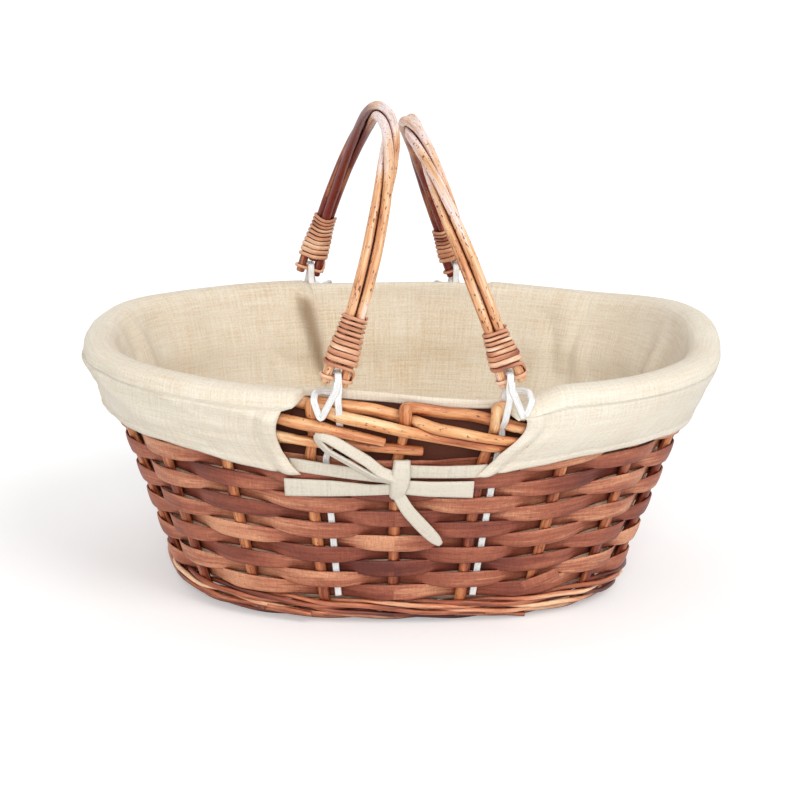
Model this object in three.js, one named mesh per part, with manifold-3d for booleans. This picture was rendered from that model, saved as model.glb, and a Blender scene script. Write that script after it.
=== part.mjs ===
// Oval wicker basket: wood chips woven on willow stakes, a rolled stake border, a lined inside with
// two tied cuffs, and two twisted handles that swing down to the ends on their webbing straps.
// Millimetres, +Z up, +X along the basket, -Y towards the front. The origin is on the table, under the
// middle of the basket.
import * as THREE from "three";
import { mergeVertices } from "three/addons/utils/BufferGeometryUtils.js";
import Module from "manifold-3d";

const wasm = await Module();
wasm.setup();

// Running gap between pieces that touch
const gap = 0.3;

// Wall: the rounded line that the stakes stand on. A power of 2 is an ellipse, and more is squarer.
const rimHalfLength = 192;
const rimHalfWidth = 147;
const rimPower = 2.35;
const footHalfLength = 142;
const footHalfWidth = 110;
const footPower = 2.7;
const rimHeight = 150;
const footHeight = 15;
const footTuck = 4;

// Stakes: willow rods that rise from the foot and lie down to the right as the border
const stakeCount = 22;
const stakeRadius = 2.6;
const firstStakeDegrees = -94.6;
const stakeFootHeight = 5.8;
const borderDrop = 8.2;
const borderReach = 3.8;
const borderBendHeight = 5;
const borderComesOut = 1.8;
const borderGoesIn = 3.2;

// Wood chips: flat strips woven in and out of the stakes
const chipPitch = 9;
const chipHeight = 8.3;
const chipThickness = 1.3;
const chipFlat = 7;

// Foot: round rods woven below the chips
const footRodCount = 3;
const footRodRadius = 2.4;
const lowRodInset = 7;

// Base: rods paired round and round, drawn as ribs on the underside
const baseRibs = 4;
const baseRibDepth = 2.2;
const baseThickness = 7;
const baseLift = 1.5;
const baseClearance = 1.2;
const baseSides = 32;

// Liner: one sewn cloth, folded out over the rim as two cuffs
const clothThickness = 1.4;
const cuffDrop = 53;
const hemRise = 2;
const hemDepth = 8;
const clothSlack = 0.8;
const bagSides = 30;
const cuffColumns = 14;

// Windows in the cuffs, at the handles, front and back
const windowCentre = -9.5;
const windowDrift = 5;
const windowHalfTop = 63.5;
const windowHalfMiddle = 69.5;
const windowHalfHem = 54;

// Ties: cloth tapes from the cuff corners, tied in a bow
const tapeWidth = 12;
const tapeThickness = 1.6;
const tapeSlack = 0.2;
const knotWidth = 11;
const knotHeight = 25;
const knotThickness = 5;
const bowDrop = 54;
const bowCentre = -10.5;

// Handles: three twisted rods each, hinged across the basket
const handleSpacing = 100;
const pivotRise = 18;
const pivotHalfWidth = 147;
const archPower = 2.33;
const handleRodRadius = 2.9;
const handleTwistTurns = 1;
const handleEndDrop = 7;
const shortRodEnd = 3.6;
const archSteps = 26;
const leftHandle = { leanDegrees: 16.3, rise: 131, bindingTurns: 9 };
const rightHandle = { leanDegrees: -21, rise: 126, bindingTurns: 7 };

// Bindings: a thin willow skein wound round each handle end
const bindingRadius = 1.3;
const bindingPitch = 3.9;
const bindingLowTurn = -4;
const bindingHighTurn = 3.6;
const bindingSteps = 10;

// Straps: flat white webbing that carries the handles
const strapWidth = 3.6;
const strapThickness = 1;
const strapFootHeight = 18;
const strapDegrees = { frontLeft: -107.6, frontRight: -75.4, backLeft: 105.1, backRight: 72.4 };

// Sizes that follow from the ones above
const weaveOffset = stakeRadius + gap + chipThickness / 2 + 0.25;
const footRodOffset = stakeRadius + gap + footRodRadius - 0.3;
const borderOffset = 2 * stakeRadius + 0.5;
const borderFoot = rimHeight - borderDrop * borderReach;
const stakeStep = (2 * Math.PI) / stakeCount;
const firstStake = THREE.MathUtils.degToRad(firstStakeDegrees);
const cuffOffset = borderOffset + stakeRadius + gap + clothThickness / 2 + clothSlack;
const cuffLowOffset = weaveOffset + chipThickness / 2 + gap + clothThickness / 2 + clothSlack;
const linerOffset = cuffOffset + strapThickness + gap;
const footRodRise = footRodRadius * Math.cos(Math.PI / 5);
const footRodPitch = (footHeight - footRodRise) / footRodCount + 0.2;
const baseTop = baseLift + baseThickness;
const chipRows = Math.floor((borderFoot - stakeRadius - gap - footHeight) / chipPitch);
const cuffTopHeight = rimHeight + stakeRadius + gap + clothThickness + clothSlack;
const cuffHemHeight = cuffTopHeight - cuffDrop;
const linerTopHeight = cuffTopHeight + hemRise;
const bowHeight = rimHeight - bowDrop;
const pivotHeight = rimHeight + pivotRise;
const bindingClear = handleRodRadius + bindingRadius + gap;

// Half length, half width and power of the stake line at a height, tucked in under the foot.
function lineSizes(z) {
  const share = (z - footHeight) / (rimHeight - footHeight);
  const tuck = z < footHeight ? footTuck * ((footHeight - z) / footHeight) ** 2 : 0;
  return [
    THREE.MathUtils.lerp(footHalfLength, rimHalfLength, share) - tuck,
    THREE.MathUtils.lerp(footHalfWidth, rimHalfWidth, share) - tuck,
    THREE.MathUtils.lerp(footPower, rimPower, THREE.MathUtils.clamp(share, 0, 1)),
  ];
}

// A point of the stake line.
function linePoint(angle, z) {
  const [a, b, power] = lineSizes(z);
  const [c, s] = [Math.cos(angle), Math.sin(angle)];
  const reach = (Math.abs(c) ** power + Math.abs(s) ** power) ** (-1 / power);
  return new THREE.Vector3(a * c * reach, b * s * reach, z);
}

// The angle where the stake line of a height passes x, at the front (-1) or the back (1).
function angleAt(side, x, z) {
  const [a, , power] = lineSizes(z);
  const across = (1 - Math.abs(x / a) ** power) ** (1 / power);
  return Math.atan2(side * across, x / a);
}

// The wall's outward direction, level, at an angle and height.
function wallNormal(angle, z) {
  const [a, b, power] = lineSizes(z);
  const steep = (value, size) => (Math.sign(value) * Math.abs(value) ** (power - 1)) / size;
  return new THREE.Vector3(steep(Math.cos(angle), a), steep(Math.sin(angle), b), 0).normalize();
}

// How far the wall leans out for each millimetre up.
function wallSlope(angle, z) {
  const rise = linePoint(angle, z + 0.5).sub(linePoint(angle, z - 0.5));
  return rise.dot(wallNormal(angle, z));
}

// The direction square to the leaning wall, outward.
function wallOut(angle, z) {
  return wallNormal(angle, z).setZ(-wallSlope(angle, z)).normalize();
}

// A point off the stake line, outward by offset as measured square to the wall.
function wallPoint(angle, z, offset = 0) {
  const reach = offset * Math.hypot(1, wallSlope(angle, z));
  return linePoint(angle, z).addScaledVector(wallNormal(angle, z), reach);
}

const stakeAngle = (index) => firstStake + index * stakeStep;

// Triangles that fill a ring by zigzag from its first and last corner, so a bent strip fills too.
function capFaces(sides) {
  const faces = [];
  let low = 0;
  let high = sides - 1;
  while (high - low > 1) {
    faces.push([low, low + 1, high]);
    low++;
    if (high - low > 1) faces.push([low, high - 1, high]);
    high--;
  }
  return faces;
}

// A closed solid through rings of equally many points. An open loft is capped at both ends.
function loft(rings, closed = false) {
  const sides = rings[0].length;
  const positions = rings.flat().flatMap((p) => [p.x, p.y, p.z]);
  const faces = [];
  const spans = closed ? rings.length : rings.length - 1;
  for (let i = 0; i < spans; i++) {
    const here = i * sides;
    const next = ((i + 1) % rings.length) * sides;
    for (let j = 0; j < sides; j++) {
      const k = (j + 1) % sides;
      faces.push([here + j, here + k, next + k], [here + j, next + k, next + j]);
    }
  }
  if (!closed) {
    const last = (rings.length - 1) * sides;
    for (const [a, b, c] of capFaces(sides)) faces.push([c, b, a], [last + a, last + b, last + c]);
  }
  return outward(positions, faces);
}

// Merges equal corners, drops faces without area and turns the faces outward.
function outward(positions, faces) {
  const raw = new THREE.BufferGeometry();
  raw.setAttribute("position", new THREE.Float32BufferAttribute(positions, 3));
  raw.setIndex(faces.flat());
  const merged = mergeVertices(raw, 1e-3);
  const index = merged.index.array;
  const kept = [];
  let volume = 0;
  const corners = [new THREE.Vector3(), new THREE.Vector3(), new THREE.Vector3()];
  for (let i = 0; i < index.length; i += 3) {
    const face = [index[i], index[i + 1], index[i + 2]];
    if (new Set(face).size < 3) continue;
    corners.forEach((corner, k) => corner.fromBufferAttribute(merged.attributes.position, face[k]));
    volume += corners[0].dot(corners[1].clone().cross(corners[2]));
    kept.push(face);
  }
  merged.setIndex(kept.flatMap((face) => (volume < 0 ? face.reverse() : face)));
  return merged;
}

// Sweeps a section along a path of { at, out }: u runs sideways and v towards out.
function sweep(path, section, closed = false) {
  const count = path.length;
  const rings = path.map(({ at, out, size = 1 }, i) => {
    const before = closed ? path[(i + count - 1) % count] : path[Math.max(i - 1, 0)];
    const after = closed ? path[(i + 1) % count] : path[Math.min(i + 1, count - 1)];
    const along = after.at.clone().sub(before.at).normalize();
    const side = along.clone().cross(out).normalize();
    const up = side.clone().cross(along);
    return section.map(([u, v]) =>
      at.clone().addScaledVector(side, u * size).addScaledVector(up, v * size),
    );
  });
  return loft(rings, closed);
}

function roundSection(radius, sides) {
  return Array.from({ length: sides }, (_, k) => {
    const turn = (2 * Math.PI * k) / sides;
    return [radius * Math.cos(turn), radius * Math.sin(turn)];
  });
}

function flatSection(width, thickness) {
  const u = width / 2;
  const v = thickness / 2;
  return [[-u, -v], [u, -v], [u, v], [-u, v]];
}

const smooth = (x, low, high) => THREE.MathUtils.smoothstep(x, low, high);

const toSolid = (geometry) =>
  new wasm.Manifold(
    new wasm.Mesh({
      numProp: 3,
      vertProperties: geometry.attributes.position.array,
      triVerts: new Uint32Array(geometry.index.array),
    }),
  );

function fromSolid(solid) {
  const found = solid.getMesh();
  const geometry = new THREE.BufferGeometry();
  geometry.setAttribute("position", new THREE.BufferAttribute(found.vertProperties, 3));
  geometry.setIndex(new THREE.BufferAttribute(found.triVerts, 1));
  return geometry;
}

const joined = (geometries) => fromSolid(geometries.map(toSolid).reduce((a, b) => a.add(b)));

// Materials
const paint = (color, roughness) => new THREE.MeshStandardMaterial({ color, roughness, metalness: 0 });
const chipWood = paint(0x9a5636, 0.62);
const stakeWood = paint(0xb57645, 0.55);
const footWood = paint(0xb46f45, 0.58);
const handleWood = paint(0xc98a52, 0.45);
const bindingWood = paint(0xc08258, 0.55);
const linen = paint(0xe6dcc6, 0.92);
const webbing = paint(0xf1efec, 0.6);

const basket = new THREE.Group();

function add(name, geometry, material, parent = basket) {
  const mesh = new THREE.Mesh(geometry, material);
  mesh.name = name;
  parent.add(mesh);
  return mesh;
}

const numbered = (name, index) => `${name}_${String(index + 1).padStart(2, "0")}`;

// The border: how far out a stake's lying end runs, s stakes to the right of where it stands.
// It passes behind one stake, in front of two and ends behind the fourth.
function borderOut(s) {
  const outward = smooth(s, borderComesOut - 0.6, borderComesOut);
  const inward = smooth(s, borderGoesIn, borderReach);
  return borderOffset * (2 * outward - 2 * inward - smooth(s, 0.3, 0.9));
}

// One stake: up the wall, over, and down to the right as one rod of the border.
function stakeGeometry(index) {
  const place = (s, z, offset) => {
    const angle = stakeAngle(index + s);
    return { at: wallPoint(angle, z, offset), out: wallNormal(angle, z) };
  };
  const path = [stakeFootHeight, (stakeFootHeight + footHeight) / 2, footHeight].map((z) =>
    place(0, z, 0),
  );
  path.push(place(0, rimHeight - borderBendHeight, 0), place(0.05, rimHeight - 1.4, 0));
  for (const s of [0.15, 0.4, 0.85, 1.25, 1.5, 1.75, 2.3, 2.8, 3.3, borderReach]) {
    path.push(place(s, rimHeight - borderDrop * s, borderOut(s)));
  }
  return sweep(path, roundSection(stakeRadius, 5));
}

// How far the stake line runs along the wall for each radian.
function lineRate(angle) {
  const step = 0.01;
  const [before, after] = [angle - step, angle + step].map((turn) => linePoint(turn, rimHeight / 2));
  return after.distanceTo(before) / (2 * step);
}

// The wave that a woven piece makes: flat across each stake, and through the wall between them.
function woven(makeRing, row) {
  const rings = [];
  for (let i = 0; i < stakeCount; i++) {
    const side = (i + row) % 2 ? -1 : 1;
    for (const flat of [-chipFlat, chipFlat]) {
      rings.push(makeRing(stakeAngle(i) + flat / lineRate(stakeAngle(i)), side));
    }
  }
  return rings;
}

function chipGeometry(row) {
  const middle = footHeight + chipPitch * (row + 0.5);
  const rings = woven((angle, side) => {
    const corner = (up, out) =>
      wallPoint(angle, middle + (up * chipHeight) / 2, side * weaveOffset + (out * chipThickness) / 2);
    return [corner(-1, -1), corner(-1, 1), corner(1, 1), corner(1, -1)];
  }, row);
  return loft(rings, true);
}

function footRodGeometry(row) {
  const z = footRodRise + row * footRodPitch;
  const inset = row === 0 ? lowRodInset : 0;
  const section = roundSection(footRodRadius, 5);
  const rings = woven((angle, side) => {
    const centre = wallPoint(angle, z, side * footRodOffset - inset);
    const out = wallNormal(angle, z);
    return section.map(([u, v]) => centre.clone().addScaledVector(out, v).setZ(z + u));
  }, row);
  return loft(rings, true);
}

// An oval solid with its middle on the axis, from a profile of [share of the edge, height].
function ovalDisc(edgePoint, profile, sides) {
  const rings = [];
  for (let i = 0; i < sides; i++) {
    const edge = edgePoint((2 * Math.PI * i) / sides);
    rings.push(profile.map(([share, z]) => new THREE.Vector3(edge.x * share, edge.y * share, z)));
  }
  return loft(rings, true);
}

function baseGeometry() {
  const inset = footRodOffset + lowRodInset + footRodRadius + gap + baseClearance;
  const edge = (angle) => wallPoint(angle, footRodRise, -inset);
  const profile = [[0, baseTop], [1, baseTop]];
  for (let rib = baseRibs; rib > 0; rib--) {
    profile.push([rib / baseRibs, baseLift + baseRibDepth], [(rib - 0.5) / baseRibs, baseLift]);
  }
  profile.push([0, baseLift + baseRibDepth]);
  return ovalDisc(edge, profile, baseSides);
}

// The place along the basket of something that both sides have, the same as seen from either side.
const turned = (side, x) => -side * x;

// Half the window's width, from its top (0) to the cuff's hem (1).
function windowHalf(share) {
  const bow = 4 * share * (1 - share);
  const straight = THREE.MathUtils.lerp(windowHalfTop, windowHalfHem, share);
  return straight + bow * (windowHalfMiddle - (windowHalfTop + windowHalfHem) / 2);
}

// The liner's bag: floor, wall and a hem that stands inside the border.
function bagGeometry() {
  const inside = weaveOffset + chipThickness / 2 + gap + clothThickness / 2 + clothSlack;
  const low = footRodOffset + footRodRadius + gap + clothThickness / 2 + clothSlack;
  const floor = baseTop + gap + clothThickness / 2;
  const line = [
    [low, floor],
    [low, footHeight],
    [inside, footHeight + footRodPitch],
    [linerOffset, borderFoot - stakeRadius],
    [linerOffset, linerTopHeight],
  ];
  const half = clothThickness / 2;
  const rings = [];
  for (let i = 0; i < bagSides; i++) {
    const angle = (2 * Math.PI * i) / bagSides;
    const inner = line.map(([d, z], k) => wallPoint(angle, z + (k === 0 ? half : 0), -d - half));
    const outer = line.map(([d, z], k) => wallPoint(angle, z - (k === 0 ? half : 0), -d + half));
    rings.push([
      new THREE.Vector3(0, 0, floor + half),
      ...inner,
      ...outer.reverse(),
      new THREE.Vector3(0, 0, floor - half),
    ]);
  }
  return loft(rings, true);
}

// One cuff: from inside the rim, over it and down outside, between two windows.
function cuffGeometry(end) {
  const top = cuffTopHeight - clothThickness / 2;
  const [frontTop, frontFoot] = [borderComesOut, borderGoesIn].map((s) => rimHeight - borderDrop * s);
  const line = [
    [gap - linerOffset, top - hemDepth],
    [gap - linerOffset, top - 2],
    [-0.5 * linerOffset, top],
    [0.5 * cuffOffset, top - 2],
    [0.83 * cuffOffset, top - 7],
    [cuffOffset, frontTop + stakeRadius],
    [cuffOffset, frontFoot],
    [cuffLowOffset + 0.3, frontFoot - 2.8 * stakeRadius],
    [cuffLowOffset, cuffHemHeight],
  ];
  const half = clothThickness / 2;
  const skin = (angle, push) =>
    line.map(([d, z], k) => {
      const [before, after] = [line[Math.max(k - 1, 0)], line[Math.min(k + 1, line.length - 1)]];
      const along = new THREE.Vector2(after[0] - before[0], after[1] - before[1]).normalize();
      return wallPoint(angle(z), z + along.x * push, d - along.y * push);
    });
  const rings = [];
  for (let i = 0; i <= cuffColumns; i++) {
    const share = i / cuffColumns;
    const angle = (z) => {
      const down = THREE.MathUtils.clamp((top - z) / (top - cuffHemHeight), 0, 1);
      const edge = (side) => {
        const middle = windowCentre - windowDrift * down;
        return angleAt(side, turned(side, middle - side * end * windowHalf(down)), z);
      };
      return end > 0
        ? THREE.MathUtils.lerp(edge(-1), edge(1), share)
        : THREE.MathUtils.lerp(edge(1), edge(-1) + 2 * Math.PI, share);
    };
    rings.push([...skin(angle, half), ...skin(angle, -half).reverse()]);
  }
  return loft(rings);
}

const linerGeometry = () => joined([bagGeometry(), cuffGeometry(1), cuffGeometry(-1)]);

// A tape laid along the outside of the wall, through points of [x, z, offset, width]. The front's
// side is -1 and the back's is 1.
function tapeGeometry(side, points, thickness = tapeThickness) {
  const tie = (x, z, offset) => {
    const angle = angleAt(side, turned(side, x), z);
    return { at: wallPoint(angle, z, offset), out: wallOut(angle, z) };
  };
  const path = points.map(([x, z, offset, width]) => ({ ...tie(x, z, offset), width }));
  const rings = path.map(({ at, out, width }, i) => {
    const before = path[Math.max(i - 1, 0)].at;
    const after = path[Math.min(i + 1, path.length - 1)].at;
    const along = after.clone().sub(before).normalize();
    const across = along.clone().cross(out).normalize();
    return flatSection(width, thickness).map(([u, v]) =>
      at.clone().addScaledVector(across, u).addScaledVector(out, v),
    );
  });
  return loft(rings);
}

const tapeOffset = weaveOffset + chipThickness / 2 + gap + tapeThickness / 2 + tapeSlack;
const knotEdge = knotWidth / 2;

// The bow: a knot, two narrow loops and two blunt tails.
function bowGeometry(side) {
  const out = tapeOffset;
  const narrow = 0.62 * tapeWidth;
  const front = out + (knotThickness - tapeThickness) / 2;
  const knotLine = [
    [bowCentre - 1, bowHeight + knotHeight / 2, front, 0.8 * knotWidth],
    [bowCentre, bowHeight + knotHeight / 4, front + 1, knotWidth],
    [bowCentre, bowHeight - knotHeight / 4, front + 1, knotWidth],
    [bowCentre + 1, bowHeight - knotHeight / 2, front, 0.9 * knotWidth],
  ];
  const arms = [
    [[0, -2, 0, narrow], [-20, -3, 0, 0.7 * tapeWidth], [-45, -4, 0, tapeWidth], [-69, -4, 0, tapeWidth]],
    [[0, -2, 0, narrow], [20, -3, 0, 0.9 * tapeWidth], [41, -4, 0, tapeWidth]],
    [[0, 2, 2, narrow], [-18, 10, 5, narrow], [-36, 22, 8, narrow], [-46, 32, 5, 0.6 * narrow]],
    [[0, -6, 2, narrow], [12, -18, 3, narrow], [22, -32, 2, narrow], [27, -40, 1, 0.6 * narrow]],
  ];
  const tapes = arms.map((arm) =>
    tapeGeometry(side, arm.map(([x, z, d, width]) => [bowCentre + x, bowHeight + z, out + d, width])),
  );
  return joined([tapeGeometry(side, knotLine, knotThickness), ...tapes]);
}

// A tie's run from a cuff corner to the knot.
function tieGeometry(side, end) {
  const corner = windowCentre - windowDrift + end * (windowHalfHem - 2);
  const edge = bowCentre + end * (knotEdge + gap + 1);
  const middle = (corner + edge) / 2;
  const z = bowHeight + 8;
  const width = 0.6 * tapeWidth;
  return tapeGeometry(side, [
    [corner, z + 1, tapeOffset, width],
    [middle, z - 1, tapeOffset, width],
    [edge, z, tapeOffset, width],
  ]);
}

// The handle's centre line, in its own plane: y across the basket and h above the pivot.
function archPoint(rise, turn) {
  const power = 2 / archPower;
  const c = Math.cos(turn);
  return new THREE.Vector3(
    0,
    -Math.sign(c) * Math.abs(c) ** power * pivotHalfWidth,
    Math.max(Math.sin(turn), 0) ** power * rise,
  );
}

// The centre line as a curve at even steps, with its length and the height where its bindings end.
function makeArch({ rise, bindingTurns }) {
  const samples = Array.from({ length: 721 }, (_, i) => archPoint(rise, (Math.PI * i) / 720));
  const curve = new THREE.CatmullRomCurve3(samples, false, "centripetal");
  curve.arcLengthDivisions = 1440;
  return { curve, length: curve.getLength(), bindingTurns, bindingTop: bindingPitch * bindingTurns };
}

// Place and frame at a length along the handle, from the front pivot. Below the pivots it is straight.
function archFrame(arch, length) {
  const inside = THREE.MathUtils.clamp(length, 0, arch.length);
  const at = arch.curve.getPointAt(inside / arch.length);
  const along = arch.curve.getTangentAt(inside / arch.length);
  if (length <= 0) along.set(0, 0, 1);
  if (length >= arch.length) along.set(0, 0, -1);
  at.addScaledVector(along, length - inside);
  const side = new THREE.Vector3(1, 0, 0);
  return { at, side, out: side.clone().cross(along) };
}

// Where a rod's centre lies in the bundle: [sideways, outward]. Rods 0 and 1 spread at the ends.
function rodPlace(arch, rod, length) {
  const reach = Math.min(length, arch.length - length);
  const spread = 1 - smooth(reach, 4, arch.bindingTop);
  const lay = (2 * handleRodRadius + 0.4) / Math.sqrt(3);
  const share = smooth(length, arch.bindingTop, arch.length - arch.bindingTop);
  const turn = 2 * Math.PI * handleTwistTurns * share;
  const close = [
    [-lay * Math.sin(Math.PI / 3), lay / 2],
    [lay * Math.sin(Math.PI / 3), lay / 2],
    [0, -lay],
  ][rod];
  const open = [[-endSpread, 0], [endSpread, 0], [0, -lay - gap]][rod];
  const u = close[0] * Math.cos(turn) - close[1] * Math.sin(turn);
  const v = close[0] * Math.sin(turn) + close[1] * Math.cos(turn);
  return [THREE.MathUtils.lerp(u, open[0], spread), THREE.MathUtils.lerp(v, open[1], spread)];
}

const endSpread = handleRodRadius + Math.hypot(strapWidth, strapThickness) / 2 + 2 * gap;

function handleRodGeometry(arch, rod) {
  const short = rod === 2;
  const start = short ? shortRodEnd : -handleEndDrop;
  const steps = archSteps + 4;
  const path = [];
  for (let i = 0; i <= steps; i++) {
    const length = THREE.MathUtils.lerp(start, arch.length - start, i / steps);
    const { at, side, out } = archFrame(arch, length);
    const [u, v] = rodPlace(arch, rod, length);
    path.push({ at: at.addScaledVector(side, u).addScaledVector(out, v), out });
  }
  return sweep(path, roundSection(handleRodRadius, 6));
}

// The rod that lies furthest out in a direction round the handle.
function furthestRod(arch, turn, length) {
  const low = Math.min(length, arch.length - length) < 0;
  const rods = (low ? [0, 1] : [0, 1, 2]).map((rod) => rodPlace(arch, rod, length));
  const reach = ([u, v]) => u * Math.cos(turn) + v * Math.sin(turn);
  return rods.reduce((best, rod) => (reach(rod) > reach(best) ? rod : best));
}

// The least air between the turns of a winding, from its points half a turn or more apart.
function leastGap(path, radius) {
  const half = bindingSteps / 2;
  let least = Infinity;
  for (let i = 0; i < path.length; i++) {
    for (let j = i + half; j < path.length; j++) {
      least = Math.min(least, path[i].at.distanceTo(path[j].at));
    }
  }
  return least - 2 * radius;
}

// A binding: one low turn that closes the slot under the strap, then an even winding above it.
function bindingGeometry(arch, back) {
  const path = [];
  const total = bindingSteps * arch.bindingTurns;
  for (let i = 0; i <= total; i++) {
    const turns = i / bindingSteps;
    const climb = bindingHighTurn + bindingPitch * Math.max(turns - 1.1, 0);
    const height = THREE.MathUtils.lerp(bindingLowTurn, climb, smooth(turns, 0.85, 1.15));
    const length = back ? arch.length - height : height;
    const { at, side, out } = archFrame(arch, length);
    const turn = 2 * Math.PI * turns;
    const [u, v] = furthestRod(arch, turn, length);
    const away = side.clone().multiplyScalar(Math.cos(turn)).addScaledVector(out, Math.sin(turn));
    at.addScaledVector(side, u).addScaledVector(out, v);
    path.push({ at: at.addScaledVector(away, bindingClear / Math.cos(Math.PI / bindingSteps)), out: away });
  }
  console.log(`binding ${back ? "back" : "front"}: least gap ${leastGap(path, bindingRadius).toFixed(2)} mm`);
  return sweep(path, roundSection(bindingRadius, 5));
}

// One strap: up inside the weave, through the handle's slot, down over the top border rod and back in.
function strapGeometry(side, pivotX, degrees) {
  const angle = THREE.MathUtils.degToRad(degrees);
  const stand = Math.floor((angle - firstStake) / stakeStep);
  const s = (angle - stakeAngle(stand)) / stakeStep;
  const topRod = rimHeight - borderDrop * s;
  const between = topRod - borderDrop / 2;
  const channel = (strapThickness + gap) / 2 + 0.15;
  const behind = -(stakeRadius + gap + strapThickness / 2);
  const inside = behind - borderOffset;
  const hidden = topRod - 1.5 * borderDrop;
  const front = borderOut(s) + stakeRadius + gap + strapThickness / 2 + 0.4;
  const reach = handleRodRadius + 2 * bindingRadius + 2 * gap + strapThickness;
  const out = new THREE.Vector3(0, side, 0);
  const onWall = (z, offset) => ({ at: wallPoint(angle, z, offset), out: wallNormal(angle, z) });
  const onHandle = (across, z, facing) => ({
    at: new THREE.Vector3(pivotX, side * (pivotHalfWidth + across), z),
    out: facing,
  });
  const up = new THREE.Vector3(0, 0, 1);
  const path = [
    onWall(strapFootHeight, -channel),
    onWall(borderFoot - 6, -channel),
    onWall(borderFoot - 2, behind),
    onWall(hidden - 5, behind),
    onWall(hidden, inside),
    onWall(rimHeight + 2, inside),
    onHandle(-reach, pivotHeight - 3, out.clone().negate()),
    onHandle(-reach + 1, pivotHeight, out.clone().negate().add(up).normalize()),
    onHandle(reach - 1, pivotHeight, out.clone().add(up).normalize()),
    onHandle(reach, pivotHeight - 3, out.clone()),
    onHandle(reach, pivotHeight - handleEndDrop - 2, out.clone()),
    onWall(rimHeight + 1, front),
    onWall(between + 1.2, front),
    onWall(between, front - 1),
    onWall(between, channel + 1),
    onWall(between - 1, channel),
    onWall(strapFootHeight, channel),
  ];
  const rings = path.map(({ at, out: facing }, i) => {
    const before = path[Math.max(i - 1, 0)].at;
    const after = path[Math.min(i + 1, path.length - 1)].at;
    const along = after.clone().sub(before).normalize();
    const across = new THREE.Vector3(-wallNormal(angle, rimHeight).y, wallNormal(angle, rimHeight).x, 0);
    const width = facing.z > 0 ? new THREE.Vector3(-side, 0, 0) : across;
    const thick = width.clone().cross(along).normalize();
    return flatSection(strapWidth, strapThickness).map(([u, v]) =>
      at.clone().addScaledVector(width, u).addScaledVector(thick, v),
    );
  });
  return loft(rings);
}

// Assembly: the woven body
add("base_weave", baseGeometry(), footWood);
for (let row = 0; row < footRodCount; row++) add(`foot_rod_${row + 1}`, footRodGeometry(row), footWood);
for (let i = 0; i < stakeCount; i++) add(numbered("stake", i), stakeGeometry(i), stakeWood);
for (let row = 0; row < chipRows; row++) add(numbered("wood_chip", row), chipGeometry(row), chipWood);

// Assembly: the liner with its ties, the same front and back
add("liner", linerGeometry(), linen);
for (const [face, side] of [["front", -1], ["back", 1]]) {
  add(`bow_${face}`, bowGeometry(side), linen);
  add(`tie_${face}_left`, tieGeometry(side, -1), linen);
  add(`tie_${face}_right`, tieGeometry(side, 1), linen);
}

// Assembly: the straps and the handles, which lean on each other
const leftPivot = -handleSpacing / 2;
const rightPivot = handleSpacing / 2;
add("strap_front_left", strapGeometry(-1, leftPivot, strapDegrees.frontLeft), webbing);
add("strap_front_right", strapGeometry(-1, rightPivot, strapDegrees.frontRight), webbing);
add("strap_back_left", strapGeometry(1, leftPivot, strapDegrees.backLeft), webbing);
add("strap_back_right", strapGeometry(1, rightPivot, strapDegrees.backRight), webbing);
for (const [name, x, sizes] of [["left", leftPivot, leftHandle], ["right", rightPivot, rightHandle]]) {
  const arch = makeArch(sizes);
  const handle = new THREE.Group();
  handle.position.set(x, 0, pivotHeight);
  handle.rotation.y = THREE.MathUtils.degToRad(sizes.leanDegrees);
  basket.add(handle);
  for (let rod = 0; rod < 3; rod++) {
    add(`${name}_handle_rod_${rod + 1}`, handleRodGeometry(arch, rod), handleWood, handle);
  }
  add(`${name}_handle_binding_front`, bindingGeometry(arch, false), bindingWood, handle);
  add(`${name}_handle_binding_back`, bindingGeometry(arch, true), bindingWood, handle);
}

export default basket;
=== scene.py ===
"""The looks of the lined oval wicker basket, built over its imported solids.

Sizes are in millimetres until a mesh is made. They repeat the solids' own sizes, so that each
piece lies where its solid does.
"""

import math

import bpy
import numpy as np
from mathutils import Matrix, Vector


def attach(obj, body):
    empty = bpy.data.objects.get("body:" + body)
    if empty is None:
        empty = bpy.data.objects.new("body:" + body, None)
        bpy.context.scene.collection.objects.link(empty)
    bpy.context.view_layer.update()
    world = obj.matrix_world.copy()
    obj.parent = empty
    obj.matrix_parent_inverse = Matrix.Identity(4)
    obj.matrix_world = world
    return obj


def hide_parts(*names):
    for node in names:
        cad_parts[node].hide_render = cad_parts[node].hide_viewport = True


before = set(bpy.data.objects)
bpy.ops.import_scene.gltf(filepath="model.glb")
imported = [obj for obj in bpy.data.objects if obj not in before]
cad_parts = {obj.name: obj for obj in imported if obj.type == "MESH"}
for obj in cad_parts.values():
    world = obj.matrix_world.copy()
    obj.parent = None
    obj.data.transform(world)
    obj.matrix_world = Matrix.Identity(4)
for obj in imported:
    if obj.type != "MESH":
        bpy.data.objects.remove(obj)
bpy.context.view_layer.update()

MM = 0.001
SEED = 11

# Wall: a power of 2 is an ellipse, and more is squarer
RIM_LENGTH = 192.0
RIM_WIDTH = 147.0
RIM_POWER = 2.35
FOOT_LENGTH = 142.0
FOOT_WIDTH = 110.0
FOOT_POWER = 2.7
RIM_HEIGHT = 150.0
FOOT_HEIGHT = 15.0
FOOT_TUCK = 4.0
MID_HEIGHT = 60.0

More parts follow.
